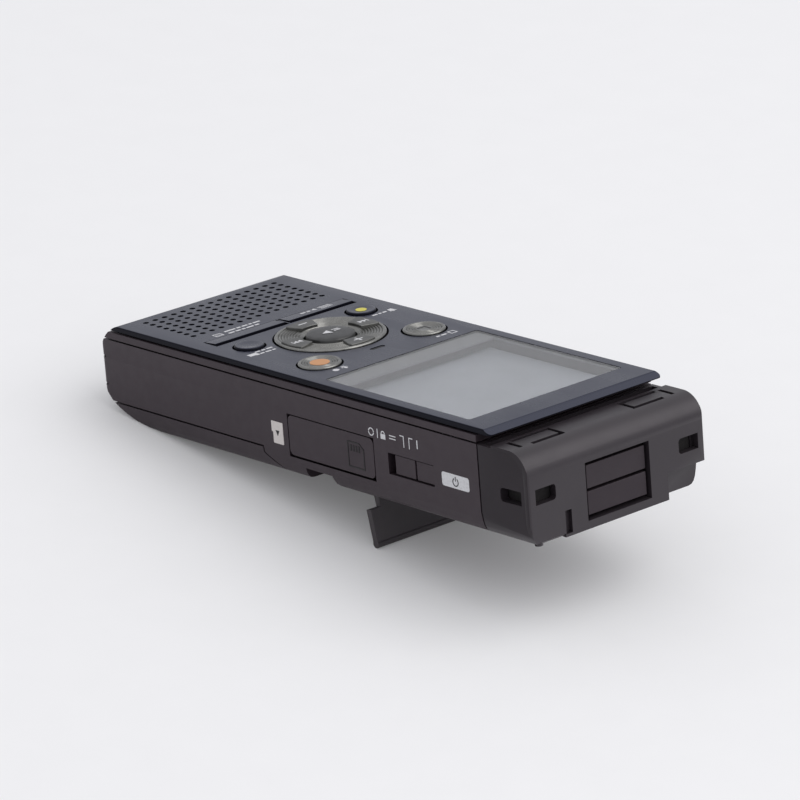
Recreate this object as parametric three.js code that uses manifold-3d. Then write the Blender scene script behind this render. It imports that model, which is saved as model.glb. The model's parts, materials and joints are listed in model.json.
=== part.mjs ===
// Pocket digital voice recorder standing on its flip-out rear stand.
// Millimetres. The housing is drawn in its own frame: X across, Y from the speaker end to the
// microphone end, Z from the back to the front face. That frame is then tilted onto its stand.
import * as THREE from 'three';
import { mergeVertices } from 'three/addons/utils/BufferGeometryUtils.js';
import Module from 'manifold-3d';

// Overall size
const LENGTH = 111.8;
const HALF_WIDTH = 19.5;
const THICKNESS = 18;
const OUTSIDE = 30;

// Shell
const GAP = 0.3;
const WALL = 1.6;
const FLOOR = 1.5;
const INSIDE = HALF_WIDTH - WALL;
const SEAM_HEIGHT = 15.45;
const DECK_TOP = 16.8;
const DECK_BOTTOM = 14;
const CASE_END = 99.75;
const CASE_END_WALL = 1.4;
const PLAN_CORNER = 1.5;
const END_GROOVES = { heights: [7, 12.05], halfWidth: 0.2, depth: 0.5 };
const WIRING_OPENING = { halfWidth: 12, y0: 97, y1: 101, z0: 5, z1: 12 };

// Speaker-end curves of the side view: where each begins, and its bend points
const HEEL = { start: 17, bendAlong: 7.5, bendUp: 4.2, end: 8.3 };
const BROW = { start: 12.4, bendUp: 14.2, bendAlong: 3.2, end: 5.4 };
const BOTTOM_EDGE = { top: 3.8, bendUp: 1.2, bendIn: 0.4, bendAcross: 0.7, inset: 2.1 };

// Glossy front panel
const PANEL_BOTTOM = 17.1;
const PANEL_HALF_WIDTH = 19.2;
const PANEL_END = 102.9;
const PANEL_SLOPE_START = 101.5;
const PANEL_EDGE_RADIUS = 0.65;
const PANEL_CORNER = 1.2;

// Loudspeaker and its grille
const HOLE_COLUMNS = 15;
const HOLE_ROWS = 8;
const HOLE_PITCH_X = 2.08;
const HOLE_PITCH_Y = 1.9;
const HOLE_RADIUS = 0.42;
const HOLE_SIDES = 6;
const GRILLE_START = 7.6;
const SPEAKER_OPENING = { halfWidth: 15.9, y0: 6.5, y1: 22 };
const CLOTH = { inset: 0.3, z0: 16.2, z1: 16.5 };
const SPEAKER = { halfWidth: 14.5, y0: 6.9, y1: 21.9, z0: 13.1, z1: 15.2, corner: 3, rim: 2, hollow: 14.7 };
const DOME = [[0, 14.5], [4, 14.5], [3.2, 15], [0, 15.3]];

// Keys
const KEY_CLEARANCE = 0.28;
const PANEL_KEY_CLEARANCE = 0.45;
const KEY_FLANGE_BOTTOM = 14.85;
const KEY_FLANGE_TOP = 15.3;
const KEY_FLANGE_WIDTH = 0.8;
const KEY_TOP = 18.4;
const RING_CENTRE_Y = 40.5;
const RING_RADIUS = 9.75;
const RING_HOLE_RADIUS = 4.7;
const RING_FLANGE_BOTTOM = 14.8;
const RING_FLANGE_TOP = 15.15;
const GIMBAL = { inner: 5, outer: 6, z0: 14.42, z1: 14.58 };
const PLAY_RADIUS = 4.3;
const LARGE_KEY_RADIUS = 3.76;
const SMALL_KEY_RADIUS = 2.65;
const ROUND_KEYS = [
  { name: 'rec_button', x: 11.75, y: 51.6, radius: LARGE_KEY_RADIUS, finish: 'key' },
  { name: 'stop_button', x: -11.75, y: 51.6, radius: LARGE_KEY_RADIUS, finish: 'key' },
  { name: 'erase_button', x: -12.5, y: 34, radius: SMALL_KEY_RADIUS, finish: 'darkKey' },
  { name: 'folder_button', x: 12.6, y: 33.8, radius: SMALL_KEY_RADIUS, finish: 'darkKey' },
];
const BAR_KEYS = [
  { name: 'scene_key', x0: 0.05, x1: 15.7 },
  { name: 'menu_key', x0: -15.3, x1: -0.85 },
];
const BAR_KEY = { start: 25.5, end: 28.3, rise: 0.5, lip: 0.12, frontFlange: 0.3, backFlange: 0.4 };
const KEY_MAT = { halfWidth: 16.6, y0: 24.2, y1: 57, z0: 13.95, z1: 14.25 };
const LAMP = { x: -0.1, y: 52.8, width: 2.9, depth: 0.8, foot: 13.85 };
const LAMP_CLEARANCE = 0.2;

// Display
const WINDOW_HALF_WIDTH = 16.9;
const WINDOW_START = 59.4;
const WINDOW_END = 95.5;
const MASK = { halfOpening: 16.5, start: 64.2, end: 95, z0: 16.87, z1: 17.12 };
const DISPLAY_OPENING = { halfWidth: 16.6, y0: 64, y1: 95.2 };
const LCD_TRAY = { halfWidth: 16.9, y0: 60.4, y1: 95.9, z0: 13.95, z1: 14.9 };
const LCD_GLASS = { halfWidth: 16.2, y0: 62.4, y1: 95.2, z0: 14.85, z1: 15.3 };

// Power source
const CELL_RADIUS = 5.1;
const CELL_LENGTH = 43.7;
const CELL_START = 6.4;
const CELL_X = 12.4;
const CELL_HEIGHT = 7.65;
const CELL_CONTACT = { half: 3.6, y0: 51.2, y1: 51.6 };
const SPRING = { start: 2.85, reach: 3, turns: 2.5, wide: 2.9, taper: 1.2, wire: 0.25, steps: 26 };
const COVER_TOP = 3.8;
const COVER_END = { top: 44, bottom: 48.2, lowCorner: 0.6, highCorner: 2.7 };
const COVER_WALL = 0.9;
const COVER_RIBS = { x: 6.7, halfWidth: 0.4, y0: 12, y1: 40, z0: 0.7, z1: 3.4 };
const PARTITION = { y0: 51.9, y1: 53.1, top: 12.7 };

// Boards
const FRONT_BOARD_BOTTOM = 13.05;
const BOARD_THICKNESS = 0.7;
const MAIN_BOARD_BOTTOM = 10.9;
const BOARD_HALF_WIDTH = 17.3;
const BOARD_END = 97.6;
const FRONT_BOARD_START = 23.9;
const MAIN_BOARD_START = 53.6;
const CHIP_TOP = 12.7;
const CHIPS = [
  { x: -11, y: 64, width: 10, depth: 12 },
  { x: 2, y: 80, width: 9, depth: 9 },
  { x: -12, y: 82, width: 8, depth: 6 },
  { x: 8, y: 62, width: 6, depth: 5 },
];

// Side fittings
const CARD_DOOR = { y0: 51.4, y1: 73.5, z0: 3.9, z1: 10.95, depth: 1, corner: 1 };
const CARD_DOOR_GAP = 0.2;
const CARD_HINGE = { x: 18.7, z: 4.6, radius: 0.7, clearance: 1.35 };
const CARD_MOUTH = { y0: 55.8, y1: 69.4, z0: 5.2, z1: 10 };
const CARD_SOCKET = { x0: 5, x1: 16.9, y0: 56.4, y1: 69, z0: 7.5, z1: 10.6 };
const CARD_SLIT = { x0: 6, y0: 57.1, y1: 68.3, z0: 8.4, z1: 9.6 };
const SWITCH_SLOT = { y0: 77.2, y1: 88.6, z0: 5.65, z1: 9.4 };
const SWITCH_TRAVEL = 1.3;
const SLIDER = { back: 16.75, keeper: 17.3, neck: 17.1, front: 19.25, gap: 0.2, lap: 0.6 };
const SLIDER_RIDGE = { x: 18.9, y0: 83.7, y1: 84.1 };
const SWITCH_BODY = { x0: 11.5, x1: 16.3, y0: 79.8, y1: 87.2, z0: 5.8, z1: 10.55 };
const JACKS = [
  { name: 'microphone_jack', y: 89.3 },
  { name: 'earphone_jack', y: 80.3 },
];
const JACK_HEIGHT = 7.2;
const JACK = { bore: 1.8, radius: 3, mouth: 19.2, boreEnd: 9.2, back: 8, clearance: 0.3 };

// USB plug that slides out of the speaker end
const PLUG = { halfWidth: 6, z0: 7.25, z1: 11.75, y0: 0.4, y1: 16.5, sheet: 0.35, port: 0.6 };
const PLUG_WINDOWS = { x: 2.6, half: 1.1, start: 4, end: 6.2 };
const TONGUE = { inset: 0.6, tail: 1.9, z0: 0.65, z1: 2.2 };
const CARRIAGE = { halfWidth: 5.8, gap: 0.3, length: 8.7, z0: 6.7, z1: 12.3 };

// Rear stand
const STAND = { hingeY: 67.2, hingeZ: 1.3, reach: 10.6, barrel: 0.95, thickness: 1.2, bead: 0.72 };
const STAND_PIN = { radius: 0.55, end: 15.9, shoulder: 15 };
const STAND_OPEN_LEAN = THREE.MathUtils.degToRad(11.9);
const STAND_HALF_WIDTH = 17.2;
const STAND_NECK_HALF_WIDTH = 15;
const STAND_NECK_LENGTH = 4.6;
const RECESS = { y0: 54.9, y1: 69.2, shallow: 2.3, deep: 2.55, pinRadius: 0.85, pinEnd: 16.3 };
const RECESS_ROOF = { y0: 53.3, y1: 70.4, top: 3.8 };
const SCOOP = [[54.8, -1], [62.9, -1], [61.6, 2], [54.8, 2]];

// Microphone cap
const CAP_START = 100.05;
const CAP_TOP = 15.75;
const CAP_ARC = 4.3;
const CAP_WALL = 1.3;
const CAP_ROOF = 1.7;
const CAP_SIDE_WALL = 1.8;
const CAP_CORNER = 0.35;
const CAP_LIP = { inset: 0.6, rise: 0.45 };
const HOOD_START = 103.3;
const HOOD_TRENCH = { halfWidth: 18.7, start: 100.9, floor: 14.4 };
const CHEEK_ANGLE = THREE.MathUtils.degToRad(2.2);
const CHEEK_RIM = { end: 1.1, top: 0.5 };
const END_WINDOW = { x0: 13.7, x1: 18.1, z0: 6.85, z1: 9.5 };
const SIDE_WINDOW = { y0: 104.7, y1: 109.5, z0: 6.55, z1: 8.95 };
const WINDOW_CORNER = 0.6;
const VENT = { inner: 7.6, outer: 16, near: 104.4, far: 107.8, width: 0.8, bar: 16.9 };
const LOUVRE = { halfWidth: 7.1, z0: 1.2, z1: 11.1 };
const LOUVRE_BARS = { back: 108.9, face: 109.7, front: 111.3, side: 0.6, edge: 0.7, slit: 0.25 };
const FOOT_RIDGE = { x0: -10.9, x1: 12.1, depth: 0.9, drop: 0.2 };
const FOOT_NUB = { x: 17.3, y: 110.9, radius: 0.7, drop: 0.25 };
const FOOT_GROOVE = { x0: 10.6, x1: 12, depth: 0.8, z0: 0.3, z1: 4.3 };
const STRAP_NOTCH = { x: -10.9, y: 109.6, z: 4.4 };
const STRAP_BLOCK = { x0: -18.2, x1: -9.3, y0: 104, z0: 0.2, z1: 5.4 };
const STRAP_EYE = { x0: -17.4, x1: -15.6, y0: 105.4, y1: 107.6, z0: 1.8, z1: 3.4 };
const STRAP_LUG = { y0: 107.9, z0: -1, z1: 7 };
const SCREEN = { inner: 12.7, outer: 17.5, back: 104.2, front: 110.2, sheet: 0.4, margin: 0.5 };
const CAPSULE = { x: 14.2, y: 106.3, z: 7.9, radius: 2.1, back: 1.6, front: 1.3 };

// Screws
const SCREW_BOSS = { radius: 2.5, hole: 2, bore: 1.25, shoulder: 1.5, boreEnd: 9.6 };
const SCREW = { head: 1.7, shank: 0.9, z0: 0.35, z1: 1.2, end: 8.6, slot: 0.18, slotFloor: 0.8 };
const SCREWS = [[14.6, 95.6], [-14.6, 95.6], [14.6, 73], [-14.6, 73]];
const CIRCLE_SEGMENTS = 24;

// How far joined solids run into each other
const LAP = 0.2;

const finishes = {
  panel: { color: 0x3b3f4c, roughness: 0.35, metalness: 0.2 },
  shell: { color: 0x3f3b3e, roughness: 0.55, metalness: 0 },
  cap: { color: 0x4a4a4d, roughness: 0.45, metalness: 0.1 },
  stand: { color: 0x2d292b, roughness: 0.6, metalness: 0 },
  key: { color: 0x77777a, roughness: 0.35, metalness: 0.7 },
  darkKey: { color: 0x3b3f4c, roughness: 0.4, metalness: 0.1 },
  glass: { color: 0xa8adb3, roughness: 0.05, metalness: 0 },
  lcd: { color: 0x8f979b, roughness: 0.4, metalness: 0 },
  board: { color: 0x1f5a3a, roughness: 0.6, metalness: 0 },
  metal: { color: 0xb8b8bc, roughness: 0.3, metalness: 1 },
  black: { color: 0x17171a, roughness: 0.8, metalness: 0 },
  rubber: { color: 0x2a2a2c, roughness: 0.9, metalness: 0 },
  lamp: { color: 0x7a2b24, roughness: 0.3, metalness: 0 },
  cell: { color: 0x355e8c, roughness: 0.4, metalness: 0.2 },
};

// ---- Solid modelling helpers -------------------------------------------------------------

const wasm = await Module();
wasm.setup();

function solidFrom(geometry) {
  const bare = geometry.index ? geometry.toNonIndexed() : geometry.clone();
  bare.deleteAttribute('normal');
  bare.deleteAttribute('uv');
  const merged = mergeVertices(bare, 1e-5);
  const corners = merged.index.array;
  const kept = [];
  for (let i = 0; i < corners.length; i += 3) {
    const [a, b, c] = [corners[i], corners[i + 1], corners[i + 2]];
    if (a !== b && b !== c && a !== c) kept.push(a, b, c);
  }
  return new wasm.Manifold(new wasm.Mesh({
    numProp: 3,
    vertProperties: new Float32Array(merged.attributes.position.array),
    triVerts: new Uint32Array(kept),
  }));
}

function geometryFrom(solid) {
  const mesh = solid.getMesh();
  const geometry = new THREE.BufferGeometry();
  geometry.setAttribute('position', new THREE.BufferAttribute(mesh.vertProperties, 3));
  geometry.setIndex(new THREE.BufferAttribute(mesh.triVerts, 1));
  geometry.computeVertexNormals();
  return geometry;
}

function cut(solid, ...tools) {
  return tools.reduce((rest, tool) => rest.subtract(tool), solid);
}

function join(solid, ...others) {
  return others.reduce((sum, other) => sum.add(other), solid);
}

function meet(solid, ...others) {
  return others.reduce((common, other) => common.intersect(other), solid);
}

function box(x0, x1, y0, y1, z0, z1) {
  const geometry = new THREE.BoxGeometry(x1 - x0, y1 - y0, z1 - z0);
  geometry.translate((x0 + x1) / 2, (y0 + y1) / 2, (z0 + z1) / 2);
  return solidFrom(geometry);
}

function outline(points) {
  return new THREE.Shape(points.map(([a, b]) => new THREE.Vector2(a, b)));
}

function roundedRectangle(a0, a1, b0, b1, radius) {
  const shape = new THREE.Shape();
  shape.moveTo(a0 + radius, b0);
  shape.lineTo(a1 - radius, b0);
  shape.absarc(a1 - radius, b0 + radius, radius, -Math.PI / 2, 0);
  shape.lineTo(a1, b1 - radius);
  shape.absarc(a1 - radius, b1 - radius, radius, 0, Math.PI / 2);
  shape.lineTo(a0 + radius, b1);
  shape.absarc(a0 + radius, b1 - radius, radius, Math.PI / 2, Math.PI);
  shape.lineTo(a0, b0 + radius);
  shape.absarc(a0 + radius, b0 + radius, radius, Math.PI, 1.5 * Math.PI);
  return shape;
}

function extruded(shape, depth, curveSegments) {
  return new THREE.ExtrudeGeometry(shape, { depth, bevelEnabled: false, curveSegments });
}

// A (y, z) outline swept across X.
function alongX(shape, x0, x1, curveSegments = 4) {
  const geometry = extruded(shape, x1 - x0, curveSegments);
  const axes = new THREE.Matrix4().makeBasis(
    new THREE.Vector3(0, 1, 0), new THREE.Vector3(0, 0, 1), new THREE.Vector3(1, 0, 0));
  geometry.applyMatrix4(axes);
  geometry.translate(x0, 0, 0);
  return solidFrom(geometry);
}

// An (x, z) outline swept along Y.
function alongY(shape, y0, y1, curveSegments = 4) {
  const geometry = extruded(shape, y1 - y0, curveSegments);
  geometry.rotateX(Math.PI / 2);
  geometry.translate(0, y1, 0);
  return solidFrom(geometry);
}

// An (x, y) outline raised along Z.
function alongZ(shape, z0, z1, curveSegments = 4) {
  const geometry = extruded(shape, z1 - z0, curveSegments);
  geometry.translate(0, 0, z0);
  return solidFrom(geometry);
}

// A (radius, height) profile turned about a vertical axis through (x, y).
function turned(profile, x, y, segments = CIRCLE_SEGMENTS) {
  const points = profile.map(([radius, height]) => new THREE.Vector2(radius, height));
  const geometry = new THREE.LatheGeometry(points, segments);
  geometry.rotateX(Math.PI / 2);
  geometry.translate(x, y, 0);
  return solidFrom(geometry);
}

function post(x, y, radius, z0, z1, segments = CIRCLE_SEGMENTS) {
  return turned([[0, z0], [radius, z0], [radius, z1], [0, z1]], x, y, segments);
}

// A rod along X or Y turned from a (radius, distance) profile.
function rod(profile, axis, centre, segments = CIRCLE_SEGMENTS) {
  const points = profile.map(([radius, distance]) => new THREE.Vector2(radius, distance));
  const geometry = new THREE.LatheGeometry(points, segments);
  if (axis === 'x') geometry.rotateZ(-Math.PI / 2);
  geometry.translate(...centre);
  return solidFrom(geometry);
}

function cylinder(axis, radius, start, end, centre, segments) {
  return rod([[0, start], [radius, start], [radius, end], [0, end]], axis, centre, segments);
}

// ---- Outer form --------------------------------------------------------------------------

// Side view (y, z) of the housing, drawn inset by a wall thickness for its inside.
function sideProfile(inset, top, end) {
  const shape = new THREE.Shape();
  shape.moveTo(end, inset);
  shape.lineTo(HEEL.start, inset);
  shape.bezierCurveTo(HEEL.bendAlong, inset, inset, HEEL.bendUp, inset, HEEL.end);
  shape.lineTo(inset, BROW.start);
  shape.bezierCurveTo(inset, BROW.bendUp, BROW.bendAlong, top, BROW.end, top);
  shape.lineTo(end, top);
  return shape;
}

// End view (x, z): upright sides that taper in to a rounded bottom edge.
function endSection() {
  const { top, bendUp, bendIn, bendAcross, inset } = BOTTOM_EDGE;
  const shape = new THREE.Shape();
  shape.moveTo(-HALF_WIDTH, THICKNESS);
  shape.lineTo(-HALF_WIDTH, top);
  shape.bezierCurveTo(-HALF_WIDTH + bendIn, bendUp, -HALF_WIDTH + bendAcross, 0, -HALF_WIDTH + inset, 0);
  shape.lineTo(HALF_WIDTH - inset, 0);
  shape.bezierCurveTo(HALF_WIDTH - bendAcross, 0, HALF_WIDTH - bendIn, bendUp, HALF_WIDTH, top);
  shape.lineTo(HALF_WIDTH, THICKNESS);
  return shape;
}

function outerForm() {
  const long = alongX(sideProfile(0, THICKNESS, LENGTH), -HALF_WIDTH, HALF_WIDTH, 9);
  const section = alongY(endSection(), 0, LENGTH, 5);
  const planShape = roundedRectangle(-HALF_WIDTH, HALF_WIDTH, 0, LENGTH + OUTSIDE, PLAN_CORNER);
  return meet(long, section, alongZ(planShape, 0, THICKNESS, 4));
}

const outer = outerForm();

// (y, z) region under the battery cover, grown by a clearance.
function coverRegion(clearance) {
  const lowEnd = COVER_END.bottom + clearance;
  const highEnd = COVER_END.top + clearance;
  return outline([
    [-1, -1],
    [lowEnd, -1],
    [lowEnd, COVER_END.lowCorner],
    [highEnd, COVER_END.highCorner + clearance / 2],
    [highEnd, COVER_TOP + clearance],
    [-1, COVER_TOP + clearance],
  ]);
}

// ---- Shell -------------------------------------------------------------------------------

// Hollow at the back for the folded stand, with finger scoops through both side edges.
function standRecess() {
  const wideEnd = STAND.hingeY - STAND_NECK_LENGTH + 0.8;
  const wide = STAND_HALF_WIDTH + GAP;
  const narrow = STAND_NECK_HALF_WIDTH + GAP;
  return join(
    box(-wide, wide, RECESS.y0, wideEnd, -1, RECESS.shallow),
    box(-narrow, narrow, RECESS.y0, RECESS.y1, -1, RECESS.deep),
    alongX(outline(SCOOP), -OUTSIDE, OUTSIDE),
    cylinder('x', RECESS.pinRadius, -RECESS.pinEnd, RECESS.pinEnd, [0, STAND.hingeY, STAND.hingeZ], 12),
  );
}

function screwBoss(x, y) {
  return post(x, y, SCREW_BOSS.radius, FLOOR - LAP, MAIN_BOARD_BOTTOM - GAP, 16);
}

function screwHole(x, y) {
  const { hole, bore, shoulder, boreEnd } = SCREW_BOSS;
  const profile = [[0, -1], [hole, -1], [hole, shoulder], [bore, shoulder], [bore, boreEnd], [0, boreEnd]];
  return turned(profile, x, y, 16);
}

function endGroove(height) {
  const { halfWidth, depth } = END_GROOVES;
  const slab = box(-OUTSIDE, OUTSIDE, -1, WALL, height - halfWidth, height + halfWidth);
  const kept = box(-HALF_WIDTH + depth, HALF_WIDTH - depth, depth, WALL + 1, height - 1, height + 1);
  return cut(slab, kept);
}

function doorRecess() {
  const { y0, y1, z0, z1, depth } = CARD_DOOR;
  const start = y0 - CARD_DOOR_GAP;
  const end = y1 + CARD_DOOR_GAP;
  const hinge = [CARD_HINGE.x, 0, CARD_HINGE.z];
  return join(
    box(HALF_WIDTH - depth - GAP, OUTSIDE, start, end, z0 - CARD_DOOR_GAP, z1 + CARD_DOOR_GAP),
    box(INSIDE - 1, OUTSIDE, CARD_MOUTH.y0, CARD_MOUTH.y1, CARD_MOUTH.z0, CARD_MOUTH.z1),
    cylinder('y', CARD_HINGE.clearance, start, end, hinge, 16),
  );
}

function rearCase() {
  const body = meet(outer, box(-OUTSIDE, OUTSIDE, -1, CASE_END, -1, SEAM_HEIGHT - GAP / 2));
  const cavity = alongX(sideProfile(FLOOR, OUTSIDE, CASE_END - CASE_END_WALL), -INSIDE, INSIDE, 9);
  const across = INSIDE + LAP;
  const partition = box(-across, across, PARTITION.y0, PARTITION.y1, FLOOR - LAP, PARTITION.top);
  const recessRoof = box(-across, across, RECESS_ROOF.y0, RECESS_ROOF.y1, FLOOR - LAP, RECESS_ROOF.top);
  const bosses = SCREWS.map(([x, y]) => screwBoss(x, y));
  const holes = SCREWS.map(([x, y]) => screwHole(x, y));
  const filled = join(cut(body, cavity), partition, recessRoof, ...bosses);
  const port = PLUG.halfWidth + PLUG.port;
  const plugPort = box(-port, port, -1, WALL + 0.5, PLUG.z0 - 0.5, PLUG.z1 + 0.5);
  const slot = box(INSIDE - 1, OUTSIDE, SWITCH_SLOT.y0, SWITCH_SLOT.y1, SWITCH_SLOT.z0, SWITCH_SLOT.z1);
  const jackBores = JACKS.map(({ y }) => (
    cylinder('x', JACK.radius + JACK.clearance, -OUTSIDE, -INSIDE + 1, [0, y, JACK_HEIGHT], 16)));
  const wires = WIRING_OPENING;
  const wiring = box(-wires.halfWidth, wires.halfWidth, wires.y0, wires.y1, wires.z0, wires.z1);
  return cut(filled, alongX(coverRegion(GAP), -OUTSIDE, OUTSIDE), standRecess(), plugPort,
    ...END_GROOVES.heights.map(endGroove), doorRecess(), slot, ...jackBores, wiring, ...holes);
}

function batteryCover() {
  const shell = meet(outer, alongX(coverRegion(0), -OUTSIDE, OUTSIDE));
  const hollow = alongX(sideProfile(COVER_WALL, OUTSIDE, COVER_END.top + 1.5), -INSIDE, INSIDE, 9);
  const { halfWidth, y0, y1, z0, z1 } = COVER_RIBS;
  const ribs = [-COVER_RIBS.x, COVER_RIBS.x].map((x) => box(x - halfWidth, x + halfWidth, y0, y1, z0, z1));
  return join(cut(shell, hollow), ...ribs);
}

function keyOpenings(z0, z1, behindBars) {
  const round = ROUND_KEYS.map(({ x, y, radius }) => post(x, y, radius + KEY_CLEARANCE, z0, z1));
  const ring = post(0, RING_CENTRE_Y, RING_RADIUS + KEY_CLEARANCE, z0, z1, 40);
  const barSlots = BAR_KEYS.map(({ x0, x1 }) => box(x0 - KEY_CLEARANCE, x1 + KEY_CLEARANCE,
    BAR_KEY.start - KEY_CLEARANCE, BAR_KEY.end + behindBars, z0, z1));
  return [...round, ring, ...barSlots];
}

function lampOpening(clearance, z0, z1) {
  const halfWidth = LAMP.width / 2 + clearance;
  const halfDepth = LAMP.depth / 2 + clearance;
  return alongZ(roundedRectangle(LAMP.x - halfWidth, LAMP.x + halfWidth, LAMP.y - halfDepth,
    LAMP.y + halfDepth, halfDepth * 0.99), z0, z1, 3);
}

function frontCase() {
  const plate = meet(outer, box(-OUTSIDE, OUTSIDE, -1, CASE_END, SEAM_HEIGHT + GAP / 2, DECK_TOP));
  const [bottom, top] = [DECK_BOTTOM, THICKNESS];
  const openings = [SPEAKER_OPENING, DISPLAY_OPENING].map(({ halfWidth, y0, y1 }) => (
    box(-halfWidth, halfWidth, y0, y1, bottom, top)));
  return cut(plate, ...openings, lampOpening(LAMP_CLEARANCE, bottom, top),
    ...keyOpenings(bottom, top, KEY_CLEARANCE));
}

// Glossy top plate with softened edges all round.
function panelBlank() {
  const r = PANEL_EDGE_RADIUS;
  const section = new THREE.Shape();
  section.moveTo(-PANEL_HALF_WIDTH, PANEL_BOTTOM);
  section.lineTo(PANEL_HALF_WIDTH, PANEL_BOTTOM);
  section.lineTo(PANEL_HALF_WIDTH, THICKNESS - r);
  section.absarc(PANEL_HALF_WIDTH - r, THICKNESS - r, r, 0, Math.PI / 2);
  section.lineTo(-PANEL_HALF_WIDTH + r, THICKNESS);
  section.absarc(-PANEL_HALF_WIDTH + r, THICKNESS - r, r, Math.PI / 2, Math.PI);
  const side = outline([
    [0, PANEL_BOTTOM], [PANEL_END, PANEL_BOTTOM], [PANEL_END, PANEL_BOTTOM + 0.1],
    [PANEL_SLOPE_START, THICKNESS], [0, THICKNESS],
  ]);
  const plan = roundedRectangle(-PANEL_HALF_WIDTH, PANEL_HALF_WIDTH, -OUTSIDE, PANEL_END, PANEL_CORNER);
  return meet(outer, alongY(section, -1, LENGTH, 3), alongX(side, -OUTSIDE, OUTSIDE),
    alongZ(plan, 0, OUTSIDE, 4));
}

function speakerHoles() {
  const holes = [];
  for (let column = 0; column < HOLE_COLUMNS; column += 1) {
    for (let row = 0; row < HOLE_ROWS; row += 1) {
      const x = (column - (HOLE_COLUMNS - 1) / 2) * HOLE_PITCH_X;
      const y = GRILLE_START + row * HOLE_PITCH_Y;
      holes.push(post(x, y, HOLE_RADIUS, DECK_TOP, THICKNESS + 1, HOLE_SIDES));
    }
  }
  return join(...holes);
}

function frontPanel() {
  const [bottom, top] = [DECK_TOP, THICKNESS + 1];
  const margin = 0.2;
  const window = alongZ(roundedRectangle(-WINDOW_HALF_WIDTH - margin, WINDOW_HALF_WIDTH + margin,
    WINDOW_START - margin, WINDOW_END + margin, 0.5), bottom, top, 2);
  return cut(panelBlank(), speakerHoles(), window, lampOpening(LAMP_CLEARANCE, bottom, top),
    ...keyOpenings(bottom, top, PANEL_KEY_CLEARANCE));
}

// ---- Keys --------------------------------------------------------------------------------

function roundKey({ x, y, radius }) {
  const flange = radius + KEY_FLANGE_WIDTH;
  return turned([
    [0, KEY_FLANGE_BOTTOM], [flange, KEY_FLANGE_BOTTOM], [flange, KEY_FLANGE_TOP],
    [radius, KEY_FLANGE_TOP], [radius, KEY_TOP - 0.25], [radius - 0.3, KEY_TOP],
    [radius * 0.55, KEY_TOP - 0.2], [0, KEY_TOP - 0.25],
  ], x, y);
}

function navigationRing() {
  const flange = RING_RADIUS + KEY_FLANGE_WIDTH;
  return turned([
    [RING_HOLE_RADIUS, RING_FLANGE_BOTTOM], [flange, RING_FLANGE_BOTTOM],
    [flange, RING_FLANGE_TOP], [RING_RADIUS, RING_FLANGE_TOP], [RING_RADIUS, KEY_TOP - 0.2],
    [RING_RADIUS - 0.35, KEY_TOP + 0.05], [7.2, KEY_TOP - 0.15],
    [RING_HOLE_RADIUS + 0.3, KEY_TOP - 0.3], [RING_HOLE_RADIUS, KEY_TOP - 0.5],
    [RING_HOLE_RADIUS, RING_FLANGE_BOTTOM],
  ], 0, RING_CENTRE_Y, 40);
}

function playButton() {
  return turned([
    [0, KEY_FLANGE_BOTTOM], [PLAY_RADIUS, KEY_FLANGE_BOTTOM], [PLAY_RADIUS, KEY_TOP - 0.15],
    [PLAY_RADIUS - 0.4, KEY_TOP + 0.15], [2, KEY_TOP + 0.25], [0, KEY_TOP + 0.28],
  ], 0, RING_CENTRE_Y);
}

// Thin ring under the navigation ring that lets it rock both ways.
function navigationGimbal() {
  const { inner, outer: edge, z0, z1 } = GIMBAL;
  return turned([[inner, z0], [edge, z0], [edge, z1], [inner, z1], [inner, z0]], 0, RING_CENTRE_Y, 24);
}

// Wedge key: flush on the speaker side and raised towards the keys.
function barKey({ x0, x1 }) {
  const { start, end, rise, lip, frontFlange, backFlange } = BAR_KEY;
  const crest = THICKNESS + rise;
  const profile = outline([
    [start - frontFlange, KEY_FLANGE_BOTTOM], [end + backFlange, KEY_FLANGE_BOTTOM],
    [end + backFlange, KEY_FLANGE_TOP], [end, KEY_FLANGE_TOP], [end, crest - lip], [end - lip, crest],
    [start, THICKNESS], [start, KEY_FLANGE_TOP], [start - frontFlange, KEY_FLANGE_TOP],
  ]);
  return alongX(profile, x0, x1);
}

// ---- Display, loudspeaker and boards --------------------------------------------------------

function displayWindow() {
  return alongZ(roundedRectangle(-WINDOW_HALF_WIDTH, WINDOW_HALF_WIDTH, WINDOW_START, WINDOW_END, 0.4),
    PANEL_BOTTOM + 0.15, THICKNESS - 0.05, 2);
}

function displayMask() {
  const sheet = box(-WINDOW_HALF_WIDTH, WINDOW_HALF_WIDTH, WINDOW_START, WINDOW_END, MASK.z0, MASK.z1);
  return cut(sheet, box(-MASK.halfOpening, MASK.halfOpening, MASK.start, MASK.end, DECK_BOTTOM, THICKNESS));
}

function lcdModule() {
  const [tray, glass] = [LCD_TRAY, LCD_GLASS].map(({ halfWidth, y0, y1, z0, z1 }) => (
    box(-halfWidth, halfWidth, y0, y1, z0, z1)));
  return join(tray, glass);
}

function speakerDriver() {
  const { halfWidth, y0, y1, z0, z1, corner, rim, hollow } = SPEAKER;
  const frame = alongZ(roundedRectangle(-halfWidth, halfWidth, y0, y1, corner), z0, z1, 4);
  const inner = roundedRectangle(-halfWidth + rim, halfWidth - rim, y0 + rim, y1 - rim, corner - 1);
  return join(cut(frame, alongZ(inner, hollow, THICKNESS, 4)), turned(DOME, 0, (y0 + y1) / 2, 16));
}

function speakerCloth() {
  const { halfWidth, y0, y1 } = SPEAKER_OPENING;
  const { inset, z0, z1 } = CLOTH;
  return box(-halfWidth + inset, halfWidth - inset, y0 + inset, y1 - inset, z0, z1);
}

function recordLamp() {
  return lampOpening(0, LAMP.foot, THICKNESS - 0.1);
}

function keyMat() {
  const { halfWidth, y0, y1, z0, z1 } = KEY_MAT;
  return cut(box(-halfWidth, halfWidth, y0, y1, z0, z1), lampOpening(LAMP_CLEARANCE, z0 - 1, z1 + 1));
}

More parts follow.
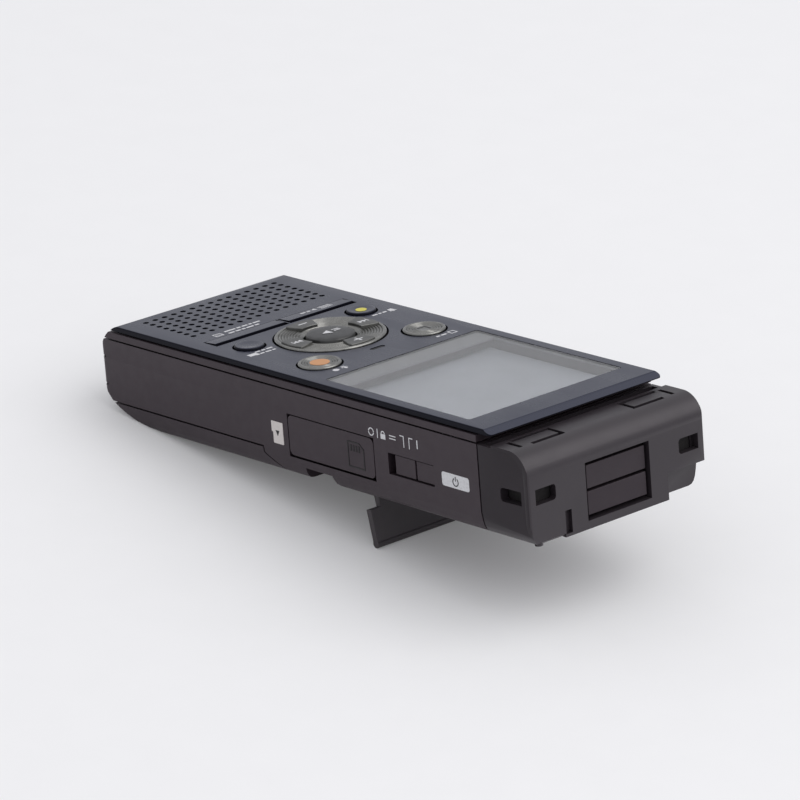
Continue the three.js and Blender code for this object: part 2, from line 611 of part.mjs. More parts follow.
function frontBoard() {
  return box(-BOARD_HALF_WIDTH, BOARD_HALF_WIDTH, FRONT_BOARD_START, BOARD_END, FRONT_BOARD_BOTTOM,
    FRONT_BOARD_BOTTOM + BOARD_THICKNESS);
}

function mainBoard() {
  const top = MAIN_BOARD_BOTTOM + BOARD_THICKNESS;
  const board = box(-BOARD_HALF_WIDTH, BOARD_HALF_WIDTH, MAIN_BOARD_START, BOARD_END, MAIN_BOARD_BOTTOM, top);
  const chips = CHIPS.map(({ x, y, width, depth }) => box(x, x + width, y, y + depth, top - 0.05, CHIP_TOP));
  return join(board, ...chips);
}

// ---- Side fittings -----------------------------------------------------------------------

function cardCover() {
  const { y0, y1, z0, z1, depth, corner } = CARD_DOOR;
  const plate = alongX(roundedRectangle(y0, y1, z0, z1, corner), HALF_WIDTH - depth, HALF_WIDTH, 3);
  const hinge = [CARD_HINGE.x, 0, CARD_HINGE.z];
  return join(plate, cylinder('y', CARD_HINGE.radius, y0 + corner, y1 - corner, hinge, 12));
}

function cardSocket() {
  const { x0, x1, y0, y1, z0, z1 } = CARD_SOCKET;
  const slit = box(CARD_SLIT.x0, x1 + 1, CARD_SLIT.y0, CARD_SLIT.y1, CARD_SLIT.z0, CARD_SLIT.z1);
  return cut(box(x0, x1, y0, y1, z0, z1), slit);
}

function powerSlider() {
  const { back, keeper, neck, front, gap, lap } = SLIDER;
  const start = SWITCH_SLOT.y0 + SWITCH_TRAVEL + gap;
  const { y1, z0, z1 } = SWITCH_SLOT;
  const knob = box(neck, front, start, y1 - gap, z0 + gap, z1 - gap);
  const plate = box(back, keeper, start - 2 * lap, y1 + 1, z0 - lap, z1 + lap);
  const ridge = box(SLIDER_RIDGE.x, OUTSIDE, SLIDER_RIDGE.y0, SLIDER_RIDGE.y1, z0 - 1, z1 + 1);
  return cut(join(knob, plate), ridge);
}

function powerSwitch() {
  const { x0, x1, y0, y1, z0, z1 } = SWITCH_BODY;
  return box(x0, x1, y0, y1, z0, z1);
}

function jack({ y }) {
  const { bore, radius, mouth, boreEnd, back } = JACK;
  return rod([
    [0, -boreEnd], [bore, -boreEnd], [bore, -mouth], [radius, -mouth], [radius, -back], [0, -back],
  ], 'x', [0, y, JACK_HEIGHT], 16);
}

// ---- USB plug ----------------------------------------------------------------------------

function usbShell() {
  const { halfWidth, z0, z1, y0, y1, sheet } = PLUG;
  const tube = cut(box(-halfWidth, halfWidth, y0, y1, z0, z1),
    box(-halfWidth + sheet, halfWidth - sheet, y0 - 1, y1 - WALL, z0 + sheet, z1 - sheet));
  const { half, start, end } = PLUG_WINDOWS;
  const windows = [-PLUG_WINDOWS.x, PLUG_WINDOWS.x].map((x) => (
    box(x - half, x + half, y0 + start, y0 + end, z1 - 1, z1 + 1)));
  return cut(tube, ...windows);
}

function usbTongue() {
  const { inset, tail, z0, z1 } = TONGUE;
  const across = PLUG.halfWidth - inset;
  return box(-across, across, PLUG.y0 + inset, PLUG.y1 - tail, PLUG.z0 + z0, PLUG.z0 + z1);
}

function usbCarriage() {
  const { halfWidth, gap, length, z0, z1 } = CARRIAGE;
  const start = PLUG.y1 + gap;
  return box(-halfWidth, halfWidth, start, start + length, z0, z1);
}

// ---- Cells and contacts ------------------------------------------------------------------

function cell(side) {
  const end = CELL_START + CELL_LENGTH;
  return rod([
    [0, CELL_START], [CELL_RADIUS - 0.5, CELL_START], [CELL_RADIUS, CELL_START + 0.4],
    [CELL_RADIUS, end - 0.5], [CELL_RADIUS - 0.6, end], [1.9, end], [1.9, end + 0.8], [0, end + 0.8],
  ], 'y', [side * CELL_X, 0, CELL_HEIGHT]);
}

class ConicalCoil extends THREE.Curve {
  getPoint(t, target = new THREE.Vector3()) {
    const radius = SPRING.wide - SPRING.taper * t;
    const angle = 2 * Math.PI * SPRING.turns * t;
    return target.set(radius * Math.cos(angle), SPRING.reach * t, radius * Math.sin(angle));
  }
}

function cellSpring(side) {
  const wire = new THREE.Shape();
  wire.absarc(0, 0, SPRING.wire, 0, 2 * Math.PI);
  const geometry = new THREE.ExtrudeGeometry(wire, {
    steps: SPRING.steps, curveSegments: 5, extrudePath: new ConicalCoil(), bevelEnabled: false,
  });
  geometry.translate(side * CELL_X, SPRING.start, CELL_HEIGHT);
  return solidFrom(geometry);
}

function cellContact(side) {
  const x = side * CELL_X;
  const { half, y0, y1 } = CELL_CONTACT;
  return box(x - half, x + half, y0, y1, CELL_HEIGHT - half, CELL_HEIGHT + half);
}

// ---- Rear stand --------------------------------------------------------------------------

// Beaded end of the stand leg, in (y, z), for the opened position.
function standFoot() {
  const along = STAND.reach;
  return {
    y: STAND.hingeY + along * Math.sin(STAND_OPEN_LEAN),
    z: STAND.hingeZ - along * Math.cos(STAND_OPEN_LEAN),
  };
}

// The leg is drawn hanging straight down from its axis and then leaned to its open stop.
function standLeg() {
  const half = STAND.thickness / 2;
  const { radius, end, shoulder } = STAND_PIN;
  const neck = box(-STAND_NECK_HALF_WIDTH, STAND_NECK_HALF_WIDTH, -half, half, -STAND_NECK_LENGTH - 0.5, 0);
  const blade = box(-STAND_HALF_WIDTH, STAND_HALF_WIDTH, -half, half, -STAND.reach, -STAND_NECK_LENGTH);
  const barrel = cylinder('x', STAND.barrel, -shoulder, shoulder, [0, 0, 0], 12);
  const pins = cylinder('x', radius, -end, end, [0, 0, 0], 12);
  const foot = [0, 0, -STAND.reach];
  const bead = cylinder('x', STAND.bead, -STAND_HALF_WIDTH, STAND_HALF_WIDTH, foot, 12);
  const geometry = geometryFrom(join(blade, neck, barrel, pins, bead));
  geometry.rotateX(STAND_OPEN_LEAN);
  geometry.translate(0, STAND.hingeY, STAND.hingeZ);
  return solidFrom(geometry);
}

// ---- Microphone cap ----------------------------------------------------------------------

function capProfile() {
  const seam = SEAM_HEIGHT - GAP / 2;
  const shape = new THREE.Shape();
  shape.moveTo(CAP_START, 0);
  shape.lineTo(LENGTH - CAP_LIP.inset, 0);
  shape.lineTo(LENGTH, CAP_LIP.rise);
  shape.lineTo(LENGTH, CAP_TOP - CAP_ARC);
  shape.absarc(LENGTH - CAP_ARC, CAP_TOP - CAP_ARC, CAP_ARC, 0, Math.PI / 2);
  shape.lineTo(HOOD_START, CAP_TOP);
  shape.lineTo(HOOD_START, seam);
  shape.lineTo(CAP_START, seam);
  return shape;
}

// Shallow wedge that sets a cheek back behind the rounded hood edge.
function cheekCut(side) {
  const end = LENGTH - CHEEK_RIM.end;
  const top = CAP_TOP - CHEEK_RIM.top;
  const shape = new THREE.Shape();
  shape.moveTo(CAP_START, -1);
  shape.lineTo(end, -1);
  shape.lineTo(end, top - CAP_ARC);
  shape.absarc(end - CAP_ARC, top - CAP_ARC, CAP_ARC, 0, Math.PI / 2);
  shape.lineTo(CAP_START, top);
  const geometry = geometryFrom(side > 0 ? alongX(shape, 0, 3, 6) : alongX(shape, -3, 0, 6));
  geometry.translate(0, -CAP_START, 0);
  geometry.rotateZ(side * CHEEK_ANGLE);
  geometry.translate(side * HALF_WIDTH, CAP_START, 0);
  return solidFrom(geometry);
}

// A box given by its distances from the middle plane, on the side asked for.
function sideBox(side, near, far, ...rest) {
  return box(Math.min(side * near, side * far), Math.max(side * near, side * far), ...rest);
}

// A window round a corner of the cap: an opening in the end and one in the cheek, rounded
// where they end and square at the corner post.
function cornerWindow(side) {
  const { x0, x1, z0, z1 } = END_WINDOW;
  const [left, right] = side > 0 ? [x0, x1] : [-x1, -x0];
  const end = LENGTH - CAP_WALL - 0.3;
  const cheek = HALF_WIDTH - CAP_SIDE_WALL - 0.1;
  const corner = WINDOW_CORNER;
  return join(
    alongY(roundedRectangle(left, right, z0, z1, corner), end, LENGTH + 1, 4),
    sideBox(side, x0 + 1, x1, end, LENGTH + 1, z0, z1),
    alongX(roundedRectangle(SIDE_WINDOW.y0, SIDE_WINDOW.y1, SIDE_WINDOW.z0, SIDE_WINDOW.z1, corner),
      side > 0 ? cheek : -OUTSIDE, side > 0 ? OUTSIDE : -cheek, 4),
    sideBox(side, cheek, OUTSIDE, SIDE_WINDOW.y0 + 1, SIDE_WINDOW.y1, SIDE_WINDOW.z0, SIDE_WINDOW.z1),
  );
}

// Slots in the hood that leave a tongue between them, and a short bar slot beside it.
function hoodVent(side) {
  const { inner, outer: end, near, far, width, bar } = VENT;
  const through = [CAP_TOP - CAP_ROOF - 0.5, CAP_TOP + 1];
  return join(
    sideBox(side, inner, end, near - width / 2, near + width / 2, ...through),
    sideBox(side, inner, end - 1.4, far - width / 2, far + width / 2, ...through),
    sideBox(side, inner, inner + width, near, far, ...through),
    sideBox(side, bar - width / 2, bar + width / 2, near, far, ...through),
  );
}

// The lanyard corner: a notch in the end with a hole through the corner behind it.
function strapCuts() {
  const { x0, x1, y0, y1, z0, z1 } = STRAP_EYE;
  return [
    box(-OUTSIDE, STRAP_NOTCH.x, STRAP_NOTCH.y, LENGTH + 1, -1, STRAP_NOTCH.z),
    box(x0, x1, y0, y1, -1, z1),
    box(-OUTSIDE, x1, y0, y1, z0, z1),
  ];
}

function footGroove() {
  const { x0, x1, depth, z0, z1 } = FOOT_GROOVE;
  return box(x0, x1, LENGTH - depth, LENGTH + 1, z0, z1);
}

function capBody() {
  const corners = roundedRectangle(-HALF_WIDTH, HALF_WIDTH, CAP_START - OUTSIDE, LENGTH, CAP_CORNER);
  const block = meet(alongX(capProfile(), -HALF_WIDTH, HALF_WIDTH, 8),
    alongY(endSection(), CAP_START, LENGTH, 5), alongZ(corners, -1, OUTSIDE, 3));
  const lug = meet(block, box(-OUTSIDE, -HALF_WIDTH + 1, STRAP_LUG.y0, LENGTH, STRAP_LUG.z0, STRAP_LUG.z1));
  const ridge = box(FOOT_RIDGE.x0, FOOT_RIDGE.x1, LENGTH - FOOT_RIDGE.depth, LENGTH, -FOOT_RIDGE.drop, 1);
  const nub = post(FOOT_NUB.x, FOOT_NUB.y, FOOT_NUB.radius, -FOOT_NUB.drop, 1, 16);
  return join(cut(block, cheekCut(1), cheekCut(-1)), lug, ridge, nub);
}

function capHollow() {
  const inside = HALF_WIDTH - CAP_SIDE_WALL;
  const roof = CAP_TOP - CAP_ROOF;
  const room = box(-inside, inside, CAP_START - 1, LENGTH - CAP_WALL, FLOOR, roof);
  const hoodCorner = alongX(outline([[LENGTH, 9], [LENGTH, 16], [LENGTH - 7, 16]]), -OUTSIDE, OUTSIDE);
  const { x0, x1, y0, z0, z1 } = STRAP_BLOCK;
  return cut(room, hoodCorner, box(x0, x1, y0, LENGTH, z0, z1));
}

function microphoneCap() {
  const { halfWidth, z0, z1 } = LOUVRE;
  const opening = box(-halfWidth, halfWidth, LENGTH - 4, LENGTH + 1, z0, z1);
  const trench = box(-HOOD_TRENCH.halfWidth, HOOD_TRENCH.halfWidth, HOOD_TRENCH.start, HOOD_START,
    HOOD_TRENCH.floor, THICKNESS);
  const corners = [1, -1].flatMap((side) => [cornerWindow(side), hoodVent(side)]);
  return cut(capBody(), capHollow(), opening, trench, footGroove(), ...strapCuts(), ...corners);
}

// Two flat bars with a slit between them, on a backing plate inside the end opening.
function microphoneLouvre() {
  const { halfWidth, z0, z1 } = LOUVRE;
  const { back, face, front, side, edge, slit } = LOUVRE_BARS;
  const middle = (z0 + z1) / 2;
  const across = halfWidth - side;
  return join(
    box(-halfWidth + GAP, halfWidth - GAP, back, face, z0 + GAP, z1 - GAP),
    box(-across, across, face - 0.1, front, z0 + edge, middle - slit),
    box(-across, across, face - 0.1, front, middle + slit, z1 - edge),
  );
}

// Dark screen bent round the inside of a corner window.
function microphoneScreen(side) {
  const { inner, outer: edge, back, front, sheet, margin } = SCREEN;
  const shape = outline([
    [side * inner, front], [side * edge, front], [side * edge, back],
    [side * (edge - sheet), back], [side * (edge - sheet), front - sheet], [side * inner, front - sheet],
  ]);
  return alongZ(shape, SIDE_WINDOW.z0 - margin, END_WINDOW.z1 + margin);
}

// Microphone capsule turned outwards behind its corner window.
function microphoneCapsule(side) {
  const { x, y, z, radius, back, front } = CAPSULE;
  const geometry = geometryFrom(post(0, 0, radius, -back, front, 16));
  geometry.rotateX(-Math.PI / 2);
  geometry.rotateZ(-side * THREE.MathUtils.degToRad(45));
  geometry.translate(side * x, y, z);
  return solidFrom(geometry);
}

// ---- Small hardware ----------------------------------------------------------------------

function screw([x, y]) {
  const { head, shank, z0, z1, end, slot, slotFloor } = SCREW;
  const body = turned([[0, z0], [head, z0], [head, z1], [shank, z1], [shank, end], [0, end]], x, y, 16);
  const cross = join(
    box(x - shank, x + shank, y - slot, y + slot, 0, slotFloor),
    box(x - slot, x + slot, y - shank, y + shank, 0, slotFloor),
  );
  return cut(body, cross);
}

// ---- Assembly ----------------------------------------------------------------------------

const housing = new THREE.Group();

function addPiece(name, solid, finish) {
  const mesh = new THREE.Mesh(geometryFrom(solid), new THREE.MeshStandardMaterial(finishes[finish]));
  mesh.name = name;
  housing.add(mesh);
}

addPiece('rear_case', rearCase(), 'shell');
addPiece('front_case', frontCase(), 'shell');
addPiece('front_panel', frontPanel(), 'panel');
addPiece('battery_cover', batteryCover(), 'shell');
addPiece('card_cover', cardCover(), 'shell');
addPiece('stand', standLeg(), 'stand');
addPiece('mic_cap', microphoneCap(), 'cap');
addPiece('mic_louvre', microphoneLouvre(), 'shell');
addPiece('display_window', displayWindow(), 'glass');
addPiece('display_mask', displayMask(), 'glass');
addPiece('lcd_module', lcdModule(), 'lcd');
addPiece('speaker_driver', speakerDriver(), 'metal');
addPiece('speaker_cloth', speakerCloth(), 'black');
addPiece('record_lamp', recordLamp(), 'lamp');
addPiece('nav_ring', navigationRing(), 'key');
addPiece('nav_gimbal', navigationGimbal(), 'metal');
addPiece('play_button', playButton(), 'key');
ROUND_KEYS.forEach((key) => addPiece(key.name, roundKey(key), key.finish));
BAR_KEYS.forEach((key) => addPiece(key.name, barKey(key), 'panel'));
addPiece('key_mat', keyMat(), 'rubber');
addPiece('front_board', frontBoard(), 'board');
addPiece('main_board', mainBoard(), 'board');
addPiece('card_socket', cardSocket(), 'metal');
addPiece('power_slider', powerSlider(), 'shell');
addPiece('power_switch', powerSwitch(), 'black');
JACKS.forEach((socket) => addPiece(socket.name, jack(socket), 'black'));
addPiece('usb_shell', usbShell(), 'metal');
addPiece('usb_tongue', usbTongue(), 'black');
addPiece('usb_carriage', usbCarriage(), 'shell');
[['left', -1], ['right', 1]].forEach(([where, side]) => {
  addPiece(`cell_${where}`, cell(side), 'cell');
  addPiece(`cell_spring_${where}`, cellSpring(side), 'metal');
  addPiece(`cell_contact_${where}`, cellContact(side), 'metal');
  addPiece(`mic_screen_${where}`, microphoneScreen(side), 'black');
  addPiece(`mic_capsule_${where}`, microphoneCapsule(side), 'metal');
});
SCREWS.forEach((place, index) => addPiece(`screw_${index + 1}`, screw(place), 'metal'));

// Stand the housing on its stand foot and the curved speaker end: the tilt is where both
// have the same height above the floor.
function lowest(points, tilt) {
  return Math.min(...points.map(({ y, z }) => y * Math.sin(tilt) + z * Math.cos(tilt)));
}

function restingTilt() {
  const backPoints = sideProfile(0, THICKNESS, LENGTH).getPoints(9).map(({ x, y }) => ({ y: x, z: y }));
  const foot = standFoot();
  let low = 0;
  let high = Math.PI / 6;
  for (let step = 0; step < 40; step += 1) {
    const middle = (low + high) / 2;
    const footHeight = lowest([foot], middle) - STAND.bead;
    if (footHeight < lowest(backPoints, middle)) low = middle;
    else high = middle;
  }
  return low;
}

housing.rotation.x = restingTilt();

// Origin at the middle of the footprint, on the floor.
const recorder = new THREE.Group();
recorder.add(housing);
recorder.updateMatrixWorld(true);
const extent = new THREE.Box3().setFromObject(recorder, true);
const centre = extent.getCenter(new THREE.Vector3());
housing.position.set(-centre.x, -centre.y, -extent.min.z);

export default recorder;
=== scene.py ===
"""Looks of the portable field recorder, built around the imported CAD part.

Shapes are drawn in the housing's own millimetres (X across, Y from the speaker end to the
microphone end, Z from the back to the front face) and then carried into the row frame.
"""
import json
import math

import bmesh
import bpy
from mathutils import Matrix, Vector

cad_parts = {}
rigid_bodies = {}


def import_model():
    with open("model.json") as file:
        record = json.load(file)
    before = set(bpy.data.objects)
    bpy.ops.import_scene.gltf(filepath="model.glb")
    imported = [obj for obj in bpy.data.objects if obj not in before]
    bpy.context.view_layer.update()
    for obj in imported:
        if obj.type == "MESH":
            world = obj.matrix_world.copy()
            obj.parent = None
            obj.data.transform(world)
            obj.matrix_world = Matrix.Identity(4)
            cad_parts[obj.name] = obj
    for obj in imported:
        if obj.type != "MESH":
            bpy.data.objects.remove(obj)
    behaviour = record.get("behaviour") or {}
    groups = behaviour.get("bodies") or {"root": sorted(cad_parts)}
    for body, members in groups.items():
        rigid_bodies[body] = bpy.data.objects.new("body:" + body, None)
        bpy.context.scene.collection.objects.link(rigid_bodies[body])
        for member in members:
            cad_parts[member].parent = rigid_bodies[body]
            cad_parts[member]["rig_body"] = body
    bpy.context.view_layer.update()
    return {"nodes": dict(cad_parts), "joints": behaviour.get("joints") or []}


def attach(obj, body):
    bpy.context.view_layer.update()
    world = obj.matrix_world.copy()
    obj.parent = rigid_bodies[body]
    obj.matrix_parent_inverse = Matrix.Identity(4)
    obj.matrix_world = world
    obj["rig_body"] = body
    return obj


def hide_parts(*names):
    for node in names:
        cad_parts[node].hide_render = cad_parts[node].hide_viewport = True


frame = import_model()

# ---- The housing's own frame -----------------------------------------------------------------

MM = 0.001
# The stand's hinge line in housing millimetres, which ties the two frames together
STAND_AXIS = Vector((0, 67.2, 1.3))
JOINTS = {joint["name"]: joint for joint in frame["joints"]}
LENGTHWISE = -Vector(JOINTS["usb_slide"]["axis"])
OUTWARD = -Vector(JOINTS["rec_button_press"]["axis"])
ACROSS = LENGTHWISE.cross(OUTWARD)
TILT = math.atan2(LENGTHWISE.z, LENGTHWISE.y)


def housing_matrix():
    """Carries housing millimetres into the row frame's metres."""
    turn = Matrix((ACROSS, LENGTHWISE, OUTWARD)).transposed()
    corner = Vector(JOINTS["stand_hinge"]["pos_m"]) - turn @ (STAND_AXIS * MM)
    return Matrix.Translation(corner) @ turn.to_4x4() @ Matrix.Scale(MM, 4)


HOUSING = housing_matrix()
TO_HOUSING = HOUSING.inverted()


def span(node):
    """Lowest and highest corner of a CAD node, in housing millimetres."""
    points = [TO_HOUSING @ vertex.co for vertex in frame["nodes"][node].data.vertices]
    return Vector(map(min, zip(*points))), Vector(map(max, zip(*points)))


# ---- Mesh helpers ----------------------------------------------------------------------------

ROUND = 96
SHARP_ANGLE = math.radians(32)
FLAT_ANGLE = math.radians(0.4)
WELD = 2e-6


def place(name, mesh, material, body, replaced=()):
    """Puts a finished mesh in the scene as a piece that rides on a body."""
    for polygon in mesh.polygons:
        polygon.use_smooth = True
    mesh.set_sharp_from_angle(angle=SHARP_ANGLE)
    mesh.materials.clear()
    mesh.materials.append(material)
    piece = bpy.data.objects.new(name, mesh)
    bpy.context.scene.collection.objects.link(piece)
    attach(piece, body)
    if replaced:
        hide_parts(*replaced)
    return piece


def soften(piece, width, segments=2):
    """Rounds a piece's sharp edges; width is in millimetres."""
    bevel = piece.modifiers.new("soft_edges", "BEVEL")
    bevel.limit_method = "ANGLE"
    bevel.angle_limit = SHARP_ANGLE
    bevel.width = width * MM
    bevel.segments = segments
    bevel.harden_normals = True
    return piece


def build(name, shape, material, body, replaced=(), edge=0.0):
    """Makes a piece of a shape drawn in housing millimetres."""
    bmesh.ops.recalc_face_normals(shape, faces=shape.faces)
    mesh = bpy.data.meshes.new(name)
    shape.to_mesh(mesh)
    shape.free()
    mesh.transform(HOUSING)
    piece = place(name, mesh, material, body, replaced)
    return soften(piece, edge) if edge else piece


def refine(node, material, edge=0.12):
    """A welded copy of a CAD node with softened edges, which stands for that node."""
    shape = bmesh.new()
    shape.from_mesh(frame["nodes"][node].data)
    bmesh.ops.remove_doubles(shape, verts=shape.verts, dist=WELD)
    bmesh.ops.dissolve_limit(shape, angle_limit=FLAT_ANGLE, verts=shape.verts, edges=shape.edges)
    mesh = bpy.data.meshes.new(f"{node}_moulding")
    shape.to_mesh(mesh)
    shape.free()
    body = frame["nodes"][node]["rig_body"]
    piece = place(mesh.name, mesh, material, body, (node,))
    return soften(piece, edge) if edge else piece


def loop_of(shape, points):
    """New vertices at the points, in order."""
    return [shape.verts.new(point) for point in points]


def bridge(shape, first, second):
    """Faces between two closed loops of the same length."""
    count = len(first)
    for index in range(count):
        following = (index + 1) % count
        shape.faces.new((first[index], first[following], second[following], second[index]))


def turned(profile, centre, segments=ROUND):
    """A (radius, height) profile turned about the upright axis through centre."""
    shape = bmesh.new()
    rings = []
    for radius, height in profile:
        if radius == 0:
            rings.append([shape.verts.new((centre[0], centre[1], height))])
            continue
        angles = [2 * math.pi * step / segments for step in range(segments)]
        rings.append(loop_of(shape, [
            (centre[0] + radius * math.cos(a), centre[1] + radius * math.sin(a), height)
            for a in angles]))
    for first, second in zip(rings, rings[1:]):
        if len(first) == 1 or len(second) == 1:
            tip, ring = (first[0], second) if len(first) == 1 else (second[0], first)
            for index, vertex in enumerate(ring):
                shape.faces.new((tip, vertex, ring[(index + 1) % len(ring)]))
        else:
            bridge(shape, first, second)
    return shape


def prism(outline, low, high, axis="z"):
    """A flat outline pushed from low to high along an axis; the outline holds the other two."""
    lift = {
        "x": lambda a, b, h: (h, a, b),
        "y": lambda a, b, h: (a, h, b),
        "z": lambda a, b, h: (a, b, h),
    }[axis]
    shape = bmesh.new()
    bottom = loop_of(shape, [lift(a, b, low) for a, b in outline])
    top = loop_of(shape, [lift(a, b, high) for a, b in outline])
    bridge(shape, bottom, top)
    shape.faces.new(bottom)
    shape.faces.new(top)
    bmesh.ops.recalc_face_normals(shape, faces=shape.faces)
    return shape


def merge(shapes):
    """Several shapes as one; each is used up."""
    whole = bmesh.new()
    carrier = bpy.data.meshes.new("carrier")
    for shape in shapes:
        shape.to_mesh(carrier)
        shape.free()
        whole.from_mesh(carrier)
    bpy.data.meshes.remove(carrier)
    return whole


def combine(shape, tool, operation):
    """Cuts, joins or meets two shapes drawn in the same millimetres; both are used up."""
    scene = bpy.context.scene
    holders = []
    for part in (shape, tool):
        mesh = bpy.data.meshes.new("boolean")
        bmesh.ops.recalc_face_normals(part, faces=part.faces)
        part.to_mesh(mesh)
        part.free()
        holder = bpy.data.objects.new("boolean", mesh)
        scene.collection.objects.link(holder)
        holders.append(holder)
    modifier = holders[0].modifiers.new("boolean", "BOOLEAN")
    modifier.object = holders[1]
    modifier.operation = operation
    modifier.solver = "EXACT"
    graph = bpy.context.evaluated_depsgraph_get()
    result = bmesh.new()
    result.from_object(holders[0], graph)
    for holder in holders:
        mesh = holder.data
        bpy.data.objects.remove(holder)
        bpy.data.meshes.remove(mesh)
    bmesh.ops.dissolve_limit(result, angle_limit=FLAT_ANGLE, verts=result.verts, edges=result.edges)
    return result


# ---- Flat outlines ---------------------------------------------------------------------------

def arc(centre, radius, start, stop, steps):
    """Points on an arc; the angles are in degrees."""
    angles = [math.radians(start + (stop - start) * step / steps) for step in range(steps + 1)]
    return [(centre[0] + radius * math.cos(a), centre[1] + radius * math.sin(a)) for a in angles]


def polar(centre, radius, angle):
    """The point at that radius and angle, in degrees, from a centre."""
    turn = math.radians(angle)
    return (centre[0] + radius * math.cos(turn), centre[1] + radius * math.sin(turn))


def rounded(a0, a1, b0, b1, radius, steps=6):
    """A rectangle with rounded corners."""
    corners = [
        ((a1 - radius, b0 + radius), -90),
        ((a1 - radius, b1 - radius), 0),
        ((a0 + radius, b1 - radius), 90),
        ((a0 + radius, b0 + radius), 180),
    ]
    points = []
    for centre, start in corners:
        points += arc(centre, radius, start, start + 90, steps)
    return points


def rectangle(a0, a1, b0, b1):
    """A rectangle between two values of each coordinate."""
    return [(a0, b0), (a1, b0), (a1, b1), (a0, b1)]


def circle(centre, radius, steps=20):
    """A closed ring of points."""
    return arc(centre, radius, 0, 360 - 360 / steps, steps - 1)


def bent_bar(centre, radius, width, start, stop, steps=14):
    """A bar of even width bent along an arc."""
    outside = arc(centre, radius + width / 2, start, stop, steps)
    return outside + arc(centre, radius - width / 2, stop, start, steps)


def bezier(p0, p1, p2, p3, steps):
    """Points on a cubic curve from p0 to p3."""
    points = []
    for step in range(steps + 1):
        t = step / steps
        weights = ((1 - t) ** 3, 3 * t * (1 - t) ** 2, 3 * t * t * (1 - t), t ** 3)
        points.append(tuple(
            sum(w * p[axis] for w, p in zip(weights, (p0, p1, p2, p3))) for axis in (0, 1)))
    return points


# ---- Materials -------------------------------------------------------------------------------

def grey(value, tint=(1, 1, 1)):
    """A colour scaled by a value."""
    return tuple(value * share for share in tint)


def principled(name, **values):
    """A new material and its shader, with plain values set on the shader's own sockets."""
    material = bpy.data.materials.new(name)
    material.use_nodes = True
    shader = material.node_tree.nodes["Principled BSDF"]
    for key, value in values.items():
        socket = shader.inputs[key.replace("_", " ")]
        socket.default_value = (*value, 1) if isinstance(value, tuple) else value
    return material, shader


def add_node(material, kind, settings=None, **inputs):
    """A node with its properties, and its inputs set to values or linked to output sockets."""
    tree = material.node_tree
    node = tree.nodes.new(kind)
    for key, value in (settings or {}).items():
        setattr(node, key, value)
    for key, value in inputs.items():
        socket = node.inputs[key.replace("_", " ")]
        if isinstance(value, bpy.types.NodeSocket):
            tree.links.new(value, socket)
        else:
            socket.default_value = value
    return node


def housing_place(material, stretch=(1, 1, 1)):
    """Texture coordinates in housing millimetres, drawn out by the stretch."""
    place_node = add_node(material, "ShaderNodeTexCoord")
    turn = add_node(material, "ShaderNodeMapping", Vector=place_node.outputs["Object"],
                    Scale=(1 / MM,) * 3, Rotation=(-TILT, 0, 0))
    return add_node(material, "ShaderNodeMapping", Vector=turn.outputs["Vector"],
                    Scale=tuple(1 / share for share in stretch)).outputs["Vector"]


def noise(material, place_socket, size, detail=2.0, roughness=0.5):
    """Noise whose features are about size millimetres across."""
    return add_node(material, "ShaderNodeTexNoise", Vector=place_socket, Scale=1 / size,
                    Detail=detail, Roughness=roughness).outputs["Fac"]


def spread(material, factor, low, high, from_low=0.35, from_high=0.65):
    """Maps a noise factor to a range of values."""
    return add_node(material, "ShaderNodeMapRange", Value=factor, **{
        "From_Min": from_low, "From_Max": from_high, "To_Min": low, "To_Max": high,
    }).outputs["Result"]


def blend_colours(material, factor, first, second):
    """Mixes two colours; a colour is a tuple or a socket."""
    node = material.node_tree.nodes.new("ShaderNodeMix")
    node.data_type = "RGBA"
    links = material.node_tree.links
    links.new(factor, node.inputs["Factor"])
    for socket, colour in zip((node.inputs[6], node.inputs[7]), (first, second)):
        if isinstance(colour, tuple):
            socket.default_value = (*colour, 1)
        else:
            links.new(colour, socket)
    return node.outputs[2]


def bump(material, shader, height, depth, strength=1.0):
    """Relief of the given depth in millimetres."""
    node = add_node(material, "ShaderNodeBump", Height=height, Distance=depth * MM, Strength=strength)
    material.node_tree.links.new(node.outputs["Normal"], shader.inputs["Normal"])


def feed(material, socket, shader, name):
    """Links an output socket to a named input of the shader."""
    material.node_tree.links.new(socket, shader.inputs[name])


def facing(material, axis, low, high):
    """Rises from 0 to 1 as a surface turns towards an axis of its piece, either way."""
    normal = add_node(material, "ShaderNodeTexCoord").outputs["Normal"]
    along = add_node(material, "ShaderNodeSeparateXYZ", Vector=normal).outputs[axis]
    size = add_node(material, "ShaderNodeMath", {"operation": "ABSOLUTE"})
    material.node_tree.links.new(along, size.inputs[0])
    return spread(material, size.outputs[0], 0, 1, low, high)


def moulded(name, colour, roughness, grain=0.16, relief=0.003, side_painted_shade=None, **values):
    """Moulded plastic: a fine spark-eroded grain, faint handling marks and uneven sheen; on request,
    painted shade as less sheen on faces turned sideways.
    """
    material, shader = principled(name, **values)
    if side_painted_shade is not None:
        # Painted shade: faces turned sideways get less sheen, so they look darker, as if in shade.
        sideways_shade_mask = facing(material, "X", 0.9, 0.99)
        feed(material, spread(material, sideways_shade_mask, 0.5, side_painted_shade, 0, 1), shader, "Specular IOR Level")
    where = housing_place(material)
    fine = noise(material, where, grain, detail=3, roughness=0.6)
    broad = noise(material, where, 9)
    rubbed = noise(material, where, 2.2, detail=4)
    tone = blend_colours(material, spread(material, broad, 0, 1), colour, grey(1.12, colour))
    flecked = blend_colours(material, spread(material, fine, 0, 0.2, 0.6, 0.8), tone, grey(1.8, colour))
    feed(material, flecked, shader, "Base Color")
    feed(material, spread(material, rubbed, roughness - 0.025, roughness + 0.025), shader, "Roughness")
    bump(material, shader, fine, relief)
    return material


